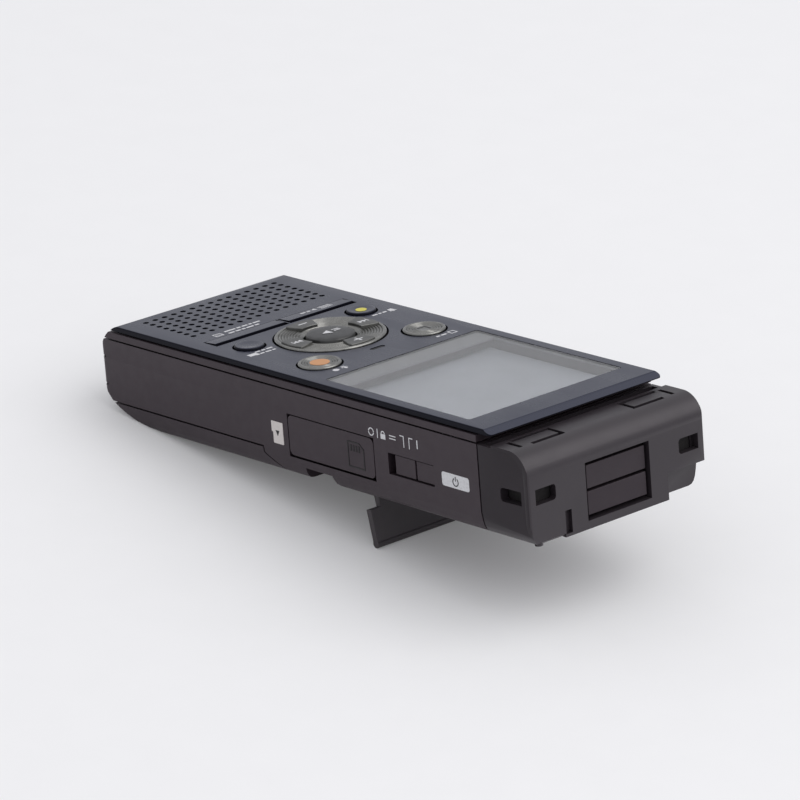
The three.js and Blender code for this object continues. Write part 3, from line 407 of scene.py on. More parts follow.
def lacquered():
    """Semi-gloss slate lacquer with a very fine orange peel and pearl, and painted shade on faces that do
    not look up: darker, with less sheen and no coat.
    """
    material, shader = principled("panel_lacquer", Coat_Roughness=0.12, Specular_Tint=(0.80, 0.84, 1.0))
    where = housing_place(material)
    peel = noise(material, where, 1.6, detail=1)
    pearl = noise(material, where, 0.12, detail=2)
    smear = noise(material, housing_place(material, (1, 4, 1)), 5, detail=4)
    colour = blend_colours(material, spread(material, pearl, 0, 1), PANEL_COLOUR, PANEL_PEARL)
    # Painted shade: faces that do not look up are coloured darker and lose most of their sheen and coat.
    top_facing_unshaded = facing(material, "Z", 0.8, 0.97)
    feed(material, blend_colours(material, top_facing_unshaded, PANEL_EDGE_PAINTED_SHADE, colour), shader, "Base Color")
    feed(material, spread(material, top_facing_unshaded, 0.08, 0.5, 0, 1), shader, "Specular IOR Level")
    feed(material, spread(material, top_facing_unshaded, 0, 0.1, 0, 1), shader, "Coat Weight")
    feed(material, spread(material, smear, 0.24, 0.34), shader, "Roughness")
    bump(material, shader, peel, 0.0025)
    return material


def spun_metal(name, colour, roughness):
    """Turned metal: fine tool marks and slight stains."""
    material, shader = principled(name, Metallic=1.0)
    where = housing_place(material)
    marks = noise(material, where, 0.09, detail=2)
    stains = noise(material, where, 1.8, detail=3)
    tone = blend_colours(material, spread(material, stains, 0, 1), colour, grey(0.78, colour))
    feed(material, tone, shader, "Base Color")
    feed(material, spread(material, marks, roughness - 0.08, roughness + 0.08), shader, "Roughness")
    bump(material, shader, marks, 0.002)
    return material


def ink(name, colour, wear=0.25):
    """Screen-printed ink, slightly uneven and worn thin in places."""
    material, shader = principled(name)
    where = housing_place(material)
    patches = noise(material, where, 0.35, detail=3)
    thin = spread(material, patches, 0, wear, 0.45, 0.7)
    worn = blend_colours(material, thin, colour, grey(0.45, colour))
    feed(material, worn, shader, "Base Color")
    feed(material, spread(material, patches, 0.45, 0.6), shader, "Roughness")
    bump(material, shader, patches, 0.003)
    return material


def clear_window():
    """Clear on its two broad faces; its edges are dark and opaque, painted shade that also keeps a glint
    off them.
    """
    material, shader = principled("window_glass", IOR=1.46, Coat_Weight=0.2)
    where = housing_place(material)
    broad = facing(material, "Z", 0.8, 0.95)
    feed(material, broad, shader, "Transmission Weight")
    haze = noise(material, where, 7, detail=3)
    feed(material, spread(material, haze, 0.015, 0.05), shader, "Roughness")
    tint = blend_colours(material, spread(material, haze, 0, 1), grey(0.97), grey(0.93))
    # Painted shade: the edge faces get a near-black colour and no transmission.
    feed(material, blend_colours(material, broad, grey(0.01), tint), shader, "Base Color")
    return material


def liquid_crystal():
    """Grey display sheet with its fine grid of pixels."""
    material, shader = principled("lcd_sheet", Coat_Weight=0.4, Coat_Roughness=0.12)
    where = housing_place(material)
    grid = add_node(material, "ShaderNodeTexBrick", {"offset": 0.0}, Vector=where, Scale=1.0, **{
        "Brick_Width": LCD_PIXEL, "Row_Height": LCD_PIXEL, "Mortar_Size": 0.03, "Mortar_Smooth": 0.3,
        "Color1": (*LCD_COLOUR, 1), "Color2": (*LCD_COLOUR, 1), "Mortar": (*grey(0.93, LCD_COLOUR), 1)})
    cloud = noise(material, where, 24)
    shaded = blend_colours(material, spread(material, cloud, 0, 1), grid.outputs["Color"],
                           grey(1.07, LCD_COLOUR))
    feed(material, shaded, shader, "Base Color")
    feed(material, spread(material, cloud, 0.35, 0.45), shader, "Roughness")
    return material


def circuit_board():
    """Green solder mask with copper traces just showing."""
    material, shader = principled("board_mask", Coat_Weight=0.5)
    where = housing_place(material)
    traces = add_node(material, "ShaderNodeTexBrick", {"offset": 0.37}, Vector=where, Scale=1.0, **{
        "Brick_Width": 5.5, "Row_Height": 0.7, "Mortar_Size": 0.09, "Color1": (*BOARD_GREEN, 1),
        "Color2": (*BOARD_DARK_GREEN, 1), "Mortar": (*TRACE_GREEN, 1)})
    feed(material, traces.outputs["Color"], shader, "Base Color")
    cloud = noise(material, where, 3)
    feed(material, spread(material, cloud, 0.3, 0.42), shader, "Roughness")
    bump(material, shader, traces.outputs["Fac"], 0.02)
    return material


def woven_cloth():
    """Black speaker cloth with its square weave."""
    material, shader = principled("speaker_weave")
    where = housing_place(material)
    threads = [
        add_node(material, "ShaderNodeTexWave", {"bands_direction": direction}, Vector=where,
                 Scale=1.0, Distortion=0.4).outputs["Fac"]
        for direction in ("X", "Y")]
    weave = add_node(material, "ShaderNodeMath", {"operation": "MAXIMUM"})
    for socket, thread in zip(weave.inputs, threads):
        material.node_tree.links.new(thread, socket)
    colour = blend_colours(material, weave.outputs[0], (0.004, 0.0032, 0.0034), (0.011, 0.009, 0.0095))
    feed(material, colour, shader, "Base Color")
    feed(material, spread(material, weave.outputs[0], 0.75, 0.95, 0, 1), shader, "Roughness")
    bump(material, shader, weave.outputs[0], 0.05)
    return material


def wrapped_cell():
    """Printed sleeve of a battery cell with a lighter band."""
    band_start = 32
    material, shader = principled("cell_sleeve", Coat_Weight=0.6)
    where = housing_place(material)
    split = add_node(material, "ShaderNodeSeparateXYZ", Vector=where)
    band = spread(material, split.outputs["Y"], 0, 1, band_start, band_start + 0.4)
    cloud = noise(material, where, 4)
    colour = blend_colours(material, band, SLEEVE_BLUE, SLEEVE_SILVER)
    feed(material, blend_colours(material, spread(material, cloud, 0, 0.2), colour, grey(0.2)), shader,
         "Base Color")
    feed(material, spread(material, cloud, 0.25, 0.35), shader, "Roughness")
    return material


PANEL_COLOUR = (0.013, 0.015, 0.030)
PANEL_PEARL = (0.019, 0.021, 0.040)
# Painted shade for the panel's edges and side faces.
PANEL_EDGE_PAINTED_SHADE = (0.006, 0.006, 0.010)
LCD_COLOUR = (0.42, 0.45, 0.50)
LCD_PIXEL = 0.24
BOARD_GREEN = (0.012, 0.09, 0.035)
BOARD_DARK_GREEN = (0.01, 0.07, 0.03)
TRACE_GREEN = (0.03, 0.17, 0.06)
SLEEVE_BLUE = (0.03, 0.1, 0.26)
SLEEVE_SILVER = (0.32, 0.33, 0.35)
SHELL_SHEEN = (1.0, 0.86, 0.96)

SHELL = moulded("shell_plastic", (0.0170, 0.0118, 0.0150), 0.50, Specular_Tint=SHELL_SHEEN)
# The cap's sides get painted shade: less sheen on faces turned sideways.
CAP = moulded("cap_plastic", (0.0225, 0.0185, 0.0220), 0.36, grain=0.12, relief=0.002, side_painted_shade=0.15,
              Specular_Tint=(1.0, 0.96, 1.0))
STAND = moulded("stand_plastic", (0.0320, 0.0260, 0.0300), 0.50)
LOUVRE = moulded("louvre_plastic", (0.0115, 0.0085, 0.0105), 0.50, Specular_Tint=SHELL_SHEEN)
DARK = moulded("dark_plastic", (0.006, 0.006, 0.007), 0.6)
RUBBER = moulded("silicone_rubber", (0.012, 0.012, 0.013), 0.75, grain=0.3)
MARKED = moulded("debossed_plastic", (0.0045, 0.0035, 0.0045), 0.6)
PANEL = lacquered()
SPUN = spun_metal("spun_key_metal", (0.27, 0.268, 0.255), 0.26)
SMOOTH_KEY = spun_metal("centre_key_metal", (0.10, 0.10, 0.10), 0.36)
PAD = spun_metal("legend_pad_metal", (0.17, 0.17, 0.165), 0.40)
PLATED = spun_metal("plated_metal", (0.62, 0.61, 0.58), 0.28)
SPEAKER = moulded("speaker_cone", (0.03, 0.03, 0.032), 0.5)
WHITE_INK = ink("white_ink", (0.62, 0.62, 0.64))
STICKER = ink("sticker_film", (0.62, 0.58, 0.56), wear=0.1)
BORDER_INK = ink("border_ink", (0.17, 0.175, 0.185), wear=0.05)
BLACK_INK = ink("black_ink", (0.006, 0.006, 0.007))
TAN_INK = ink("record_dot", (0.55, 0.27, 0.12), wear=0.1)
YELLOW_INK = ink("erase_dot", (0.62, 0.56, 0.09), wear=0.1)
LAMP = ink("lamp_lens", (0.004, 0.003, 0.006))
GLASS = clear_window()
LCD = liquid_crystal()
BOARD = circuit_board()
CLOTH = woven_cloth()
CELL = wrapped_cell()

# ---- Front panel -----------------------------------------------------------------------------

PANEL_LOW, PANEL_HIGH = span("front_panel")
FACE = PANEL_HIGH.z
HALF_WIDTH = span("rear_case")[1].x
LENGTH = span("mic_cap")[1].y
PANEL_EDGE = 0.3
PANEL_CORNER = 0.8
PLAN_CORNER = 1.5
SLOPE_START = 101.5
SLOPE_FOOT = 0.15
BROW = ((0, 12.4), (0, 14.2), (3.2, 18), (5.4, 18))
HOLE_COLUMNS = 15
HOLE_ROWS = 8
HOLE_PITCH = (2.08, 1.9)
HOLE_RADIUS = 0.54
GRILLE_START = 7.6
FLANGE = 0.8
KEY_GAP = 0.32
FLUSH_GAP = 0.06
BAR_GAP = 0.9
BAR_START = 25.5
BAR_END = 28.3
WINDOW_GAP = 0.12
WINDOW_CORNER = 0.5
PLATE_SOFTNESS = 0.07


def panel_blank():
    """The slab with softened edges, falling away round the speaker end."""
    low, high = PANEL_LOW, PANEL_HIGH
    edge = PANEL_EDGE
    across = [(low.x, low.z), (high.x, low.z)]
    across += arc((high.x - edge, FACE - edge), edge, 0, 90, 6)
    across += arc((low.x + edge, FACE - edge), edge, 90, 180, 6)
    base = BROW[0][1] - 1
    along = [(0, base)] + bezier(*BROW, 24)
    along += arc((SLOPE_START - edge, FACE - edge), edge, 90, 45, 4)
    along += [(high.y, low.z + SLOPE_FOOT), (high.y, base)]
    corner = PANEL_CORNER
    plan = arc((high.x - corner, high.y - corner), corner, 0, 90, 6)
    plan += arc((low.x + corner, high.y - corner), corner, 90, 180, 6)
    plan += arc((low.x + PLAN_CORNER, PLAN_CORNER), PLAN_CORNER, 180, 270, 6)
    plan += arc((high.x - PLAN_CORNER, PLAN_CORNER), PLAN_CORNER, 270, 360, 6)
    slab = prism(across, -2, LENGTH, "y")
    slab = combine(slab, prism(along, low.x - 1, high.x + 1, "x"), "INTERSECT")
    return combine(slab, prism(plan, low.z - 2, FACE + 2), "INTERSECT")


def key_place(node):
    """Centre and radius of the visible part of a round key."""
    low, high = span(node)
    return (low + high) / 2, (high.x - low.x) / 2 - FLANGE


def opening(node, corner):
    """Outline round a CAD node with the window's gap about it."""
    low, high = span(node)
    return rounded(low.x - WINDOW_GAP, high.x + WINDOW_GAP, low.y - WINDOW_GAP, high.y + WINDOW_GAP, corner)


def panel_cutters():
    """Everything that is cut out of the plate: speaker holes, key openings, display and lamp."""
    below, above = PANEL_LOW.z - 1, FACE + 1
    cutters = []
    for column in range(HOLE_COLUMNS):
        for row in range(HOLE_ROWS):
            x = (column - (HOLE_COLUMNS - 1) / 2) * HOLE_PITCH[0]
            y = GRILLE_START + row * HOLE_PITCH[1]
            cutters.append(prism(circle((x, y), HOLE_RADIUS, 14), below, above))
    for node in ("rec_button", "stop_button", "erase_button", "folder_button", "nav_ring"):
        centre, radius = key_place(node)
        cutters.append(prism(circle(centre, radius + KEY_GAP, ROUND), below, above))
    for node in ("scene_key", "menu_key"):
        low, high = span(node)
        slot = rectangle(low.x - KEY_GAP, high.x + KEY_GAP, BAR_START - FLUSH_GAP, BAR_END + BAR_GAP)
        cutters.append(prism(slot, below, above))
    cutters.append(prism(opening("display_window", WINDOW_CORNER), below, above))
    low, high = span("record_lamp")
    lamp_corner = ((high.y - low.y) / 2 + WINDOW_GAP) * 0.98
    cutters.append(prism(opening("record_lamp", lamp_corner), below, above))
    return merge(cutters)


build("front_panel_plate", combine(panel_blank(), panel_cutters(), "DIFFERENCE"), PANEL, "housing",
      ("front_panel",), edge=PLATE_SOFTNESS)

# ---- Keys ------------------------------------------------------------------------------------

GROOVE_PITCH = 0.5
GROOVE_DEPTH = 0.2
# One groove: how far along it, and how much of its depth
GROOVE_SHAPE = ((0, 0), (0.3, 0.15), (0.55, 1), (0.8, 0.4))
FLANGE_THICKNESS = 0.45
METAL_KEY_ROLL = 0.3
PLAIN_KEY_ROLL = 0.35
METAL_KEY_DISH = 0.14
REC_DOT_RADIUS = 1.75
STOP_DISC_RADIUS = 1.2
DOT_THICKNESS = 0.05
PAD_RISE = 0.26
BAR_RISE = 0.2
BAR_LIP = 0.1


def grooves(outer, inner, outer_height, inner_height):
    """Profile points of fine concentric grooves between two radii."""
    count = max(1, round((outer - inner) / GROOVE_PITCH))
    points = []
    for step in range(count):
        for share, drop in GROOVE_SHAPE:
            t = (step + share) / count
            points.append((outer + (inner - outer) * t,
                           outer_height + (inner_height - outer_height) * t - drop * GROOVE_DEPTH))
    return points + [(inner, inner_height)]


def rolled_rim(radius, top, roll):
    """Quarter round from a key's side wall to its top."""
    return arc((radius - roll, top - roll), roll, 0, 90, 5)


def key_skirt(node, radius, top, roll):
    """Profile of the hidden flange and the side wall, up to a rolled rim."""
    bottom = span(node)[0].z
    flange_top = bottom + FLANGE_THICKNESS
    skirt = [(radius + FLANGE, bottom), (radius + FLANGE, flange_top), (radius, flange_top)]
    return skirt + rolled_rim(radius, top, roll)


def grooved_key(node, dot_radius):
    """Round key with a grooved metal rim and a shallow dish round its mark."""
    centre, radius = key_place(node)
    low, high = span(node)
    dish = high.z - METAL_KEY_DISH
    level = dish - 0.03
    profile = [(0, low.z)] + key_skirt(node, radius, high.z, METAL_KEY_ROLL)
    profile += grooves(radius - 0.45, dot_radius + 0.25, high.z - 0.02, dish)
    profile += [(dot_radius, level), (0, level)]
    build(f"{node}_cap", turned(profile, centre), SPUN, node, (node,))
    return centre, level


def plain_key(node):
    """Panel-coloured round key with a faintly hollow top."""
    centre, radius = key_place(node)
    low, high = span(node)
    level = high.z - 0.19
    profile = [(0, low.z)] + key_skirt(node, radius, high.z, PLAIN_KEY_ROLL)
    profile += [(radius * 0.6, high.z - 0.1), (radius * 0.3, high.z - 0.17), (0, level)]
    build(f"{node}_cap", turned(profile, centre), PANEL, node, (node,))
    return centre, level


INK_LIFT = 0.004
INK_THICKNESS = 0.02


def inked(name, outlines, plane, body, material, thickness=INK_THICKNESS):
    """Printed marks: flat outlines on a plane (origin, along, up) that belong to a body."""
    origin, along, up = (Vector(part) for part in plane)
    out = along.cross(up)
    shapes = []
    for outline in outlines:
        shape = prism(outline, INK_LIFT, INK_LIFT + thickness)
        for vertex in shape.verts:
            vertex.co = origin + along * vertex.co.x + up * vertex.co.y + out * vertex.co.z
        shapes.append(shape)
    return build(name, merge(shapes), material, body)


def on_face(x, y, z=None):
    """A plane for marks on the front face, read with the microphones at the top."""
    return ((x, y, FACE if z is None else z), (1, 0, 0), (0, 1, 0))


def on_bar_key(x, y):
    """A plane for marks on the sloping top of a bar key."""
    slope = math.atan2(BAR_RISE, BAR_END - BAR_START)
    level = FACE + (y - BAR_START) * math.tan(slope)
    return ((x, y, level), (1, 0, 0), (0, math.cos(slope), math.sin(slope)))


def on_side(y, z, x=None):
    """A plane for marks on the right-hand side, read with the microphones to the right."""
    return ((HALF_WIDTH if x is None else x, y, z), (0, 1, 0), (0, 0, 1))


def build_round_keys():
    """Record and stop in grooved metal, erase and folder in panel lacquer."""
    centre, level = grooved_key("rec_button", REC_DOT_RADIUS)
    inked("rec_dot", [circle((0, 0), REC_DOT_RADIUS - 0.03, 40)], on_face(centre.x, centre.y, level),
          "rec_button", TAN_INK, DOT_THICKNESS)
    centre, level = grooved_key("stop_button", STOP_DISC_RADIUS)
    # Painted shadow: a black angle along two sides of a square mark, standing for the shade along the
    # square's walls; the square itself is not drawn.
    stop_shadow_bars = [rectangle(-0.9, 0.9, -0.9, -0.6), rectangle(-0.9, -0.6, -0.6, 0.9)]
    inked("stop_painted_shadow", stop_shadow_bars, on_face(centre.x, centre.y, level), "stop_button", BLACK_INK)
    centre, level = plain_key("erase_button")
    inked("erase_dot_mark", [circle((0, 0), 1.0, 32)], on_face(centre.x, centre.y, level + 0.05),
          "erase_button", YELLOW_INK, DOT_THICKNESS)
    plain_key("folder_button")


build_round_keys()

RING_INNER = 4.7
RING_FLANGE = 0.35
RING_ROLL = 0.35
RING_SINK = 0.3
PAD_INNER = 5.7
PAD_OUTER = 9.2
PAD_HALF_ANGLE = 19
PAD_CORNER = 0.6
PAD_CORNER_ANGLE = 2
PAD_ANGLES = {"plus": 90, "minus": 270, "forward": 0, "rewind": 180}


def build_ring():
    """The grooved four-way ring, which slopes down to the play key, and its four pads."""
    centre, radius = key_place("nav_ring")
    low, high = span("nav_ring")
    top = high.z - 0.05
    flange_top = low.z + RING_FLANGE
    profile = [(RING_INNER, low.z), (radius + FLANGE, low.z), (radius + FLANGE, flange_top),
               (radius, flange_top)]
    profile += rolled_rim(radius, top, RING_ROLL)
    profile += grooves(radius - 0.5, RING_INNER + 0.55, top - 0.02, top - RING_SINK)
    profile += [(RING_INNER + 0.3, top - 0.42), (RING_INNER, top - 0.7), (RING_INNER, low.z)]
    build("nav_ring_metal", turned(profile, centre, 160), SPUN, "nav_ring", ("nav_ring",))
    for name, middle in PAD_ANGLES.items():
        build_pad(name, middle, centre, top)


def build_pad(name, middle, centre, top):
    """A smooth island on the ring that carries a legend."""
    start, stop = middle - PAD_HALF_ANGLE, middle + PAD_HALF_ANGLE
    outline = arc(centre, PAD_OUTER, start + PAD_CORNER_ANGLE, stop - PAD_CORNER_ANGLE, 10)
    outline.append(polar(centre, PAD_OUTER - PAD_CORNER, stop))
    outline += arc(centre, PAD_INNER, stop - 1, start + 1, 8)
    outline.append(polar(centre, PAD_OUTER - PAD_CORNER, start))
    pad_top = top + PAD_RISE
    build(f"nav_pad_{name}", prism(outline, top - 0.5, pad_top), PAD, "nav_ring", edge=0.16)
    x, y = polar(centre, (PAD_INNER + PAD_OUTER) / 2, middle)
    inked(f"nav_legend_{name}", LEGENDS[name], on_face(x, y, pad_top), "nav_ring", WHITE_INK)


def arrow(x, direction, height=0.62, length=0.8):
    """A solid triangle from x, pointing to +1 or -1."""
    return [(x, -height), (x + direction * length, 0), (x, height)]


LEGENDS = {
    "plus": [rectangle(-0.95, 0.95, -0.15, 0.15), rectangle(-0.15, 0.15, 0.16, 0.95),
             rectangle(-0.15, 0.15, -0.95, -0.16)],
    "minus": [rectangle(-0.95, 0.95, -0.16, 0.16)],
    "forward": [arrow(-1.0, 1), arrow(-0.15, 1), rectangle(0.72, 0.92, -0.62, 0.62)],
    "rewind": [arrow(1.0, -1), arrow(0.15, -1), rectangle(-0.92, -0.72, -0.62, 0.62)],
}


PLAY_CROWN = 0.12


def build_play():
    """The domed play key in the middle of the ring, with a triangle and three short lines."""
    low, high = span("play_button")
    centre = (low + high) / 2
    radius = (high.x - low.x) / 2
    top = high.z - PLAY_CROWN
    profile = [(0, low.z), (radius, low.z), (radius, top - 0.42), (radius - 0.1, top - 0.2),
               (radius - 0.3, top - 0.08), (radius - 0.6, top - 0.02)]
    profile += [(radius * share, top + PLAY_CROWN * (1 - share)) for share in (0.7, 0.5, 0.3, 0.12)]
    profile += [(0, top + PLAY_CROWN)]
    build("play_button_cap", turned(profile, centre), SMOOTH_KEY, "play_button",
          ("play_button",))
    triangle = [(0.1, -0.95), (1.75, 0), (0.1, 0.95)]
    lines = [rectangle(-2.1, -0.6, 0.2, 0.42), rectangle(-2.1, -1.0, -0.2, 0.02),
             rectangle(-2.1, -0.6, -0.6, -0.38)]
    inked("play_legend", [triangle] + lines, on_face(centre.x, centre.y, top + PLAY_CROWN),
          "play_button", WHITE_INK)


build_ring()
build_play()


def build_bar_key(node):
    """Wedge key, flush on the speaker side and raised towards the round keys."""
    low, high = span(node)
    flange_top = low.z + FLANGE_THICKNESS
    outline = [(BAR_START, flange_top), (BAR_START, FACE)]
    outline += arc((BAR_END - BAR_LIP, FACE + BAR_RISE - BAR_LIP), BAR_LIP, 100, 0, 5)
    outline += [(BAR_END, flange_top), (high.y, flange_top), (high.y, low.z), (low.y, low.z),
                (low.y, flange_top)]
    build(f"{node}_wedge", prism(outline, low.x, high.x, "x"), PANEL, node, (node,), edge=0.05)


build_bar_key("scene_key")
build_bar_key("menu_key")

# ---- Printed marks on the front ----------------------------------------------------------------

def bars(width, height, pitch, count, x=0.0, y=0.0):
    """Equal bars stacked upwards from (x, y)."""
    return [rectangle(x, x + width, y + row * pitch, y + row * pitch + height) for row in range(count)]


def picture_frame(a0, a1, b0, b1, line):
    """The four sides of a rectangle drawn as lines."""
    bottom, top = rectangle(a0, a1, b0, b0 + line), rectangle(a0, a1, b1 - line, b1)
    left = rectangle(a0, a0 + line, b0 + line, b1 - line)
    right = rectangle(a1 - line, a1, b0 + line, b1 - line)
    return [bottom, top, left, right]


def calendar_marks():
    page = picture_frame(0, 1.7, 0, 1.5, 0.18) + [rectangle(0.18, 1.52, 0.95, 1.1)]
    return page + [rectangle(0.4 + 0.35 * c, 0.6 + 0.35 * c, 0.4, 0.62) for c in range(3)]


def folder_marks():
    return [[(0, 0), (1.9, 0), (1.9, 1.15), (0.9, 1.15), (0.7, 1.4), (0, 1.4)]]


def bin_marks():
    body = [(0.25, 0), (1.15, 0), (1.3, 1.05), (0.1, 1.05)]
    return [body, rectangle(0, 1.4, 1.15, 1.33), rectangle(0.5, 0.9, 1.33, 1.5)]


def microphone_marks():
    return [rounded(0.45, 0.95, 0.55, 1.5, 0.24, 4), bent_bar((0.7, 0.9), 0.55, 0.16, 180, 360),
            rectangle(0.62, 0.78, 0.05, 0.36), rectangle(0.3, 1.1, 0, 0.14)]


def shifted(outlines, dx, dy):
    """The same outlines, moved."""
    return [[(a + dx, b + dy) for a, b in outline] for outline in outlines]


def dashes(lengths, height, gap=0.3):
    """A row of short bars, standing in for a printed word."""
    row, x = [], 0.0
    for length in lengths:
        row.append(rectangle(x, x + length, 0, height))
        x += length + gap
    return row


WORD_HEIGHT = 0.5
SMALL_WORD_HEIGHT = 0.45
# Lower left corner of each mark, across and along the front face
PRINT_PLACES = {
    "scene_print": (1.9, 23.3),
    "folder_print": (10.5, 37.2),
    "erase_print": (-16.8, 37.2),
    "record_print": (9.9, 56.0),
    "stop_print": (-14.4, 56.0),
}
MENU_PRINT_PLACE = (-11.8, 25.9)


def build_face_marks():
    """Pictograms and rows of dashes beside the keys."""
    scene = shifted(calendar_marks(), 8.9, 0.1) + dashes((1.5, 0.7, 1.2, 0.9, 2.4), WORD_HEIGHT)
    scene += shifted(dashes((0.9, 1.6, 0.7, 1.1, 1.3), WORD_HEIGHT), 1.2, 1.3)
    menu = bars(2.6, 0.22, 0.55, 3) + shifted([arrow(0.9, 1, 0.6, 0.9)], 2.6, 0.65)
    menu += shifted(dashes((0.8, 1.1), WORD_HEIGHT), 4.7, 0.4)
    folder = shifted(folder_marks(), 3.9, 0.4) + dashes((1.3, 0.8, 1.1), SMALL_WORD_HEIGHT)
    folder += shifted(dashes((0.7, 1.2, 0.9), SMALL_WORD_HEIGHT), 0.3, 1.3)
    erase = bin_marks() + shifted(dashes((0.9, 0.6, 1.1), WORD_HEIGHT), 1.8, 0.4)
    record = microphone_marks() + [circle((2.6, 0.75), 0.6, 24)]
    stop = picture_frame(0, 1.4, 0, 1.4, 0.22) + shifted(dashes((1.2, 0.8), WORD_HEIGHT), 2.0, 0.4)
    drawings = (scene, folder, erase, record, stop)
    for (name, corner), outlines in zip(PRINT_PLACES.items(), drawings):
        inked(name, outlines, on_face(*corner), "housing", WHITE_INK)
    inked("menu_print", menu, on_bar_key(*MENU_PRINT_PLACE), "menu_key", WHITE_INK)


build_face_marks()

# ---- Display -----------------------------------------------------------------------------------

refine("display_window", GLASS, 0)
refine("display_mask", BORDER_INK, 0)
refine("lcd_module", LCD, 0.05)
refine("record_lamp", LAMP, 0.04)

# ---- Shell ---------------------------------------------------------------------------------------

refine("rear_case", SHELL, 0.1)
refine("front_case", SHELL, 0.08)
refine("battery_cover", SHELL, 0.1)
refine("card_cover", SHELL, 0.12)
refine("power_slider", SHELL, 0.1)
refine("stand", STAND, 0.12)
refine("mic_cap", CAP, 0.14)
refine("mic_louvre", LOUVRE, 0.1)

# ---- Printed marks on the side -------------------------------------------------------------------

STICKER_PLACE = (46.9, 5.2)
STICKER_SIZE = (3.0, 3.9)
STICKER_THICKNESS = 0.06
SWITCH_PRINT_PLACE = (73.3, 12.25)
LABEL_PLACE = (90.6, 6.5)
LABEL_SIZE = (6.7, 2.4)
CARD_MARK_PLACE = (66.8, 4.9)


def build_sticker():
    """The pale film beside the card door, with a small pointer."""
    width, height = STICKER_SIZE
    film = [(0.45, 0), (width - 0.1, 0), (width, 0.1), (width, height - 0.1), (width - 0.1, height),
            (0.1, height), (0, height - 0.1), (0, 2.1), (0.35, 1.9), (0.35, 0.1)]
    inked("side_sticker", [film], on_side(*STICKER_PLACE), "housing", STICKER,
          STICKER_THICKNESS)
    pointer = [(1.05, 2.35), (1.55, 1.35), (2.05, 2.35)]
    film_top = HALF_WIDTH + INK_LIFT + STICKER_THICKNESS
    inked("sticker_pointer", [pointer], on_side(*STICKER_PLACE, film_top), "housing", BLACK_INK)


def build_switch_marks():
    """Off, lock and on, with the two lines that point at the power slider."""
    off_mark = [bent_bar((0, 0), 0.62, 0.2, 0, 172), bent_bar((0, 0), 0.62, 0.2, 180, 352)]
    padlock = [rectangle(-0.6, 0.6, -0.75, 0.15), bent_bar((0, 0.2), 0.4, 0.18, 0, 180)]
    tick_left = [rectangle(-0.9, 0.1, 0.55, 0.72), rectangle(-0.07, 0.1, -1.3, 0.55)]
    tick_right = [rectangle(-0.1, 0.9, 0.55, 0.72), rectangle(-0.1, 0.07, -1.3, 0.55)]
    on_mark = [rectangle(-0.12, 0.12, -0.75, 0.75)]
    divider = [rectangle(-0.09, 0.09, -0.8, 0.8)]
    marks = off_mark + shifted(divider, 1.6, 0) + shifted(padlock, 3.0, 0)
    marks += shifted(tick_left, 8.2, 0.1) + shifted(tick_right, 9.6, 0.1) + shifted(on_mark, 11.6, 0)
    marks += shifted(bars(1.6, 0.18, 0.5, 2), 4.6, -0.35)
    inked("switch_print", marks, on_side(*SWITCH_PRINT_PLACE), "housing", WHITE_INK)


def build_power_label():
    """The white label under the slider with the usual power symbol."""
    width, height = LABEL_SIZE
    inked("power_label", [rounded(0, width, 0, height, 0.45)], on_side(*LABEL_PLACE), "housing",
          WHITE_INK)
    power = [bent_bar((0, 0), 0.66, 0.2, 120, 420, 20), rectangle(-0.1, 0.1, 0.15, 0.95)]
    label_top = HALF_WIDTH + INK_LIFT + INK_THICKNESS
    inked("power_symbol", shifted(power, width / 2, 1.1), on_side(*LABEL_PLACE, label_top), "housing",
          BLACK_INK)


def build_card_mark():
    """A memory card drawn in low relief on the door."""
    card = [rectangle(0, 0.22, 0, 4.6), rectangle(0.22, 4.2, 0, 0.22), rectangle(4.0, 4.22, 0.22, 3.6),
            rectangle(0.22, 3.1, 4.38, 4.6), [(3.1, 4.38), (3.1, 4.6), (4.22, 3.6), (4.0, 3.5)]]
    contacts = [rectangle(0.7 + 0.7 * c, 1.05 + 0.7 * c, 2.9, 4.0) for c in range(4)]
    inked("card_mark", card + contacts, on_side(*CARD_MARK_PLACE), "card_cover", MARKED, 0.05)


build_sticker()
build_switch_marks()
build_power_label()
build_card_mark()

# ---- Fittings and insides ------------------------------------------------------------------------

METAL = (PLATED, "plated_metal")
BLACK_PLASTIC = (DARK, "dark_plastic")
CARRIED_NODES = {
    "speaker_driver": (SPEAKER, "speaker"),
    "speaker_cloth": (CLOTH, "cloth"),
    "nav_gimbal": METAL,
    "key_mat": (RUBBER, "silicone"),
    "front_board": (BOARD, "board"),
    "main_board": (BOARD, "board"),
    "card_socket": METAL,
    "power_switch": BLACK_PLASTIC,
    "microphone_jack": BLACK_PLASTIC,
    "earphone_jack": BLACK_PLASTIC,
    "usb_shell": METAL,
    "usb_tongue": BLACK_PLASTIC,
    "usb_carriage": (SHELL, "shell"),
    "cell_left": (CELL, "cell"),
    "cell_right": (CELL, "cell"),
    "cell_spring_left": METAL,
    "cell_spring_right": METAL,
    "cell_contact_left": METAL,
    "cell_contact_right": METAL,
    "mic_screen_left": (CLOTH, "cloth"),
    "mic_screen_right": (CLOTH, "cloth"),
    "mic_capsule_left": METAL,
    "mic_capsule_right": METAL,
}
CARRIED_NODES.update({f"screw_{number}": METAL for number in range(1, 5)})
SMALL_EDGE = 0.05

for node, (material, slot) in CARRIED_NODES.items():
    refine(node, material, SMALL_EDGE)

# ---- Stage, light and camera ---------------------------------------------------------------------

FLOOR_SIZE = 8.0
# Painted light: the floor glows a little so the shadows on it come out lighter.
FLOOR_PAINTED_LIGHT = 0.10
FLOOR_DARK = (0.72, 0.72, 0.73)
FLOOR_LIGHT = (0.74, 0.74, 0.75)
LOW_SKY = (0.50, 0.51, 0.54)
HIGH_SKY = (0.88, 0.88, 0.90)
SKY_TOP = 0.9
LAMP_PLACE = (-0.50, 0.80, 1.15)
LAMP_SIZE = 1.5
LAMP_POWER = 10.5
LAMP_COLOUR = (1, 0.99, 0.98)


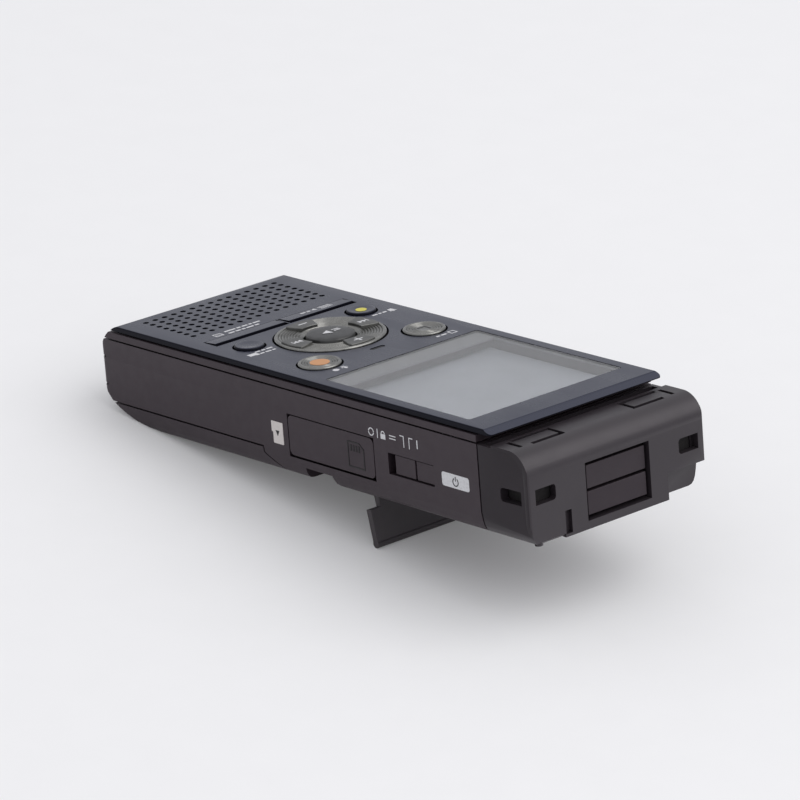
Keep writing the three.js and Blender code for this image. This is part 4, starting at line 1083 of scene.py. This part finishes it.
def build_floor():
    """Pale paper with a fine grain, which glows faintly: painted light that lightens the shadows on it."""
    material, shader = principled("floor_paper", Specular_IOR_Level=0.1, Emission_Color=(1.0, 1.0, 1.0),
                                  Emission_Strength=FLOOR_PAINTED_LIGHT)
    grain = add_node(material, "ShaderNodeTexNoise", Scale=900.0, Detail=3.0).outputs["Fac"]
    tone = blend_colours(material, grain, FLOOR_DARK, FLOOR_LIGHT)
    feed(material, tone, shader, "Base Color")
    feed(material, spread(material, grain, 0.85, 0.95), shader, "Roughness")
    shape = bmesh.new()
    half = FLOOR_SIZE / 2
    corners = [(x, y, 0) for x, y in rectangle(-half, half, -half, half)]
    shape.faces.new(loop_of(shape, corners))
    mesh = bpy.data.meshes.new("floor")
    shape.to_mesh(mesh)
    shape.free()
    mesh.materials.append(material)
    floor = bpy.data.objects.new("floor", mesh)
    bpy.context.scene.collection.objects.link(floor)


def aim(holder, target):
    """Turns a lamp at its place towards a point."""
    direction = Vector(target) - Vector(holder.location)
    holder.rotation_euler = direction.to_track_quat("-Z", "Y").to_euler()


def build_light():
    """A sky that darkens towards the horizon, and one large soft lamp overhead."""
    world = bpy.data.worlds.new("studio")
    world.use_nodes = True
    background = world.node_tree.nodes["Background"]
    heading = add_node(world, "ShaderNodeTexCoord").outputs["Generated"]
    height = add_node(world, "ShaderNodeSeparateXYZ", Vector=heading).outputs["Z"]
    sky = blend_colours(world, spread(world, height, 0, 1, 0.0, SKY_TOP), LOW_SKY, HIGH_SKY)
    world.node_tree.links.new(sky, background.inputs["Color"])
    bpy.context.scene.world = world
    lamp = bpy.data.lights.new("overhead", "AREA")
    lamp.shape = "RECTANGLE"
    lamp.size = lamp.size_y = LAMP_SIZE
    lamp.energy = LAMP_POWER
    lamp.color = LAMP_COLOUR
    holder = bpy.data.objects.new("overhead", lamp)
    holder.location = LAMP_PLACE
    aim(holder, (0, 0, 0))
    bpy.context.scene.collection.objects.link(holder)


VIEW_TARGET = (-0.0008, 0.0004, 0.0165)
VIEW_DISTANCE = 0.8800
VIEW_AZIMUTH = 137.86
VIEW_ELEVATION = 25.22
VIEW_ROLL = 2.57
VIEW_LENS = 232.75


def build_camera():
    """A long lens that looks at the microphone end from the right, slightly rolled."""
    data = bpy.data.cameras.new("camera")
    data.lens = VIEW_LENS
    data.sensor_width = 36
    data.clip_start = 0.05
    data.clip_end = 20
    camera = bpy.data.objects.new("camera", data)
    bpy.context.scene.collection.objects.link(camera)
    azimuth, elevation = math.radians(VIEW_AZIMUTH), math.radians(VIEW_ELEVATION)
    back = Vector((math.sin(azimuth) * math.cos(elevation), -math.cos(azimuth) * math.cos(elevation),
                   math.sin(elevation)))
    camera.location = Vector(VIEW_TARGET) + back * VIEW_DISTANCE
    level = (-back).to_track_quat("-Z", "Y").to_matrix()
    camera.rotation_euler = (level @ Matrix.Rotation(math.radians(VIEW_ROLL), 3, "Z")).to_euler()
    bpy.context.scene.camera = camera


build_floor()
build_light()
build_camera()
bpy.context.scene.view_settings.view_transform = "Standard"
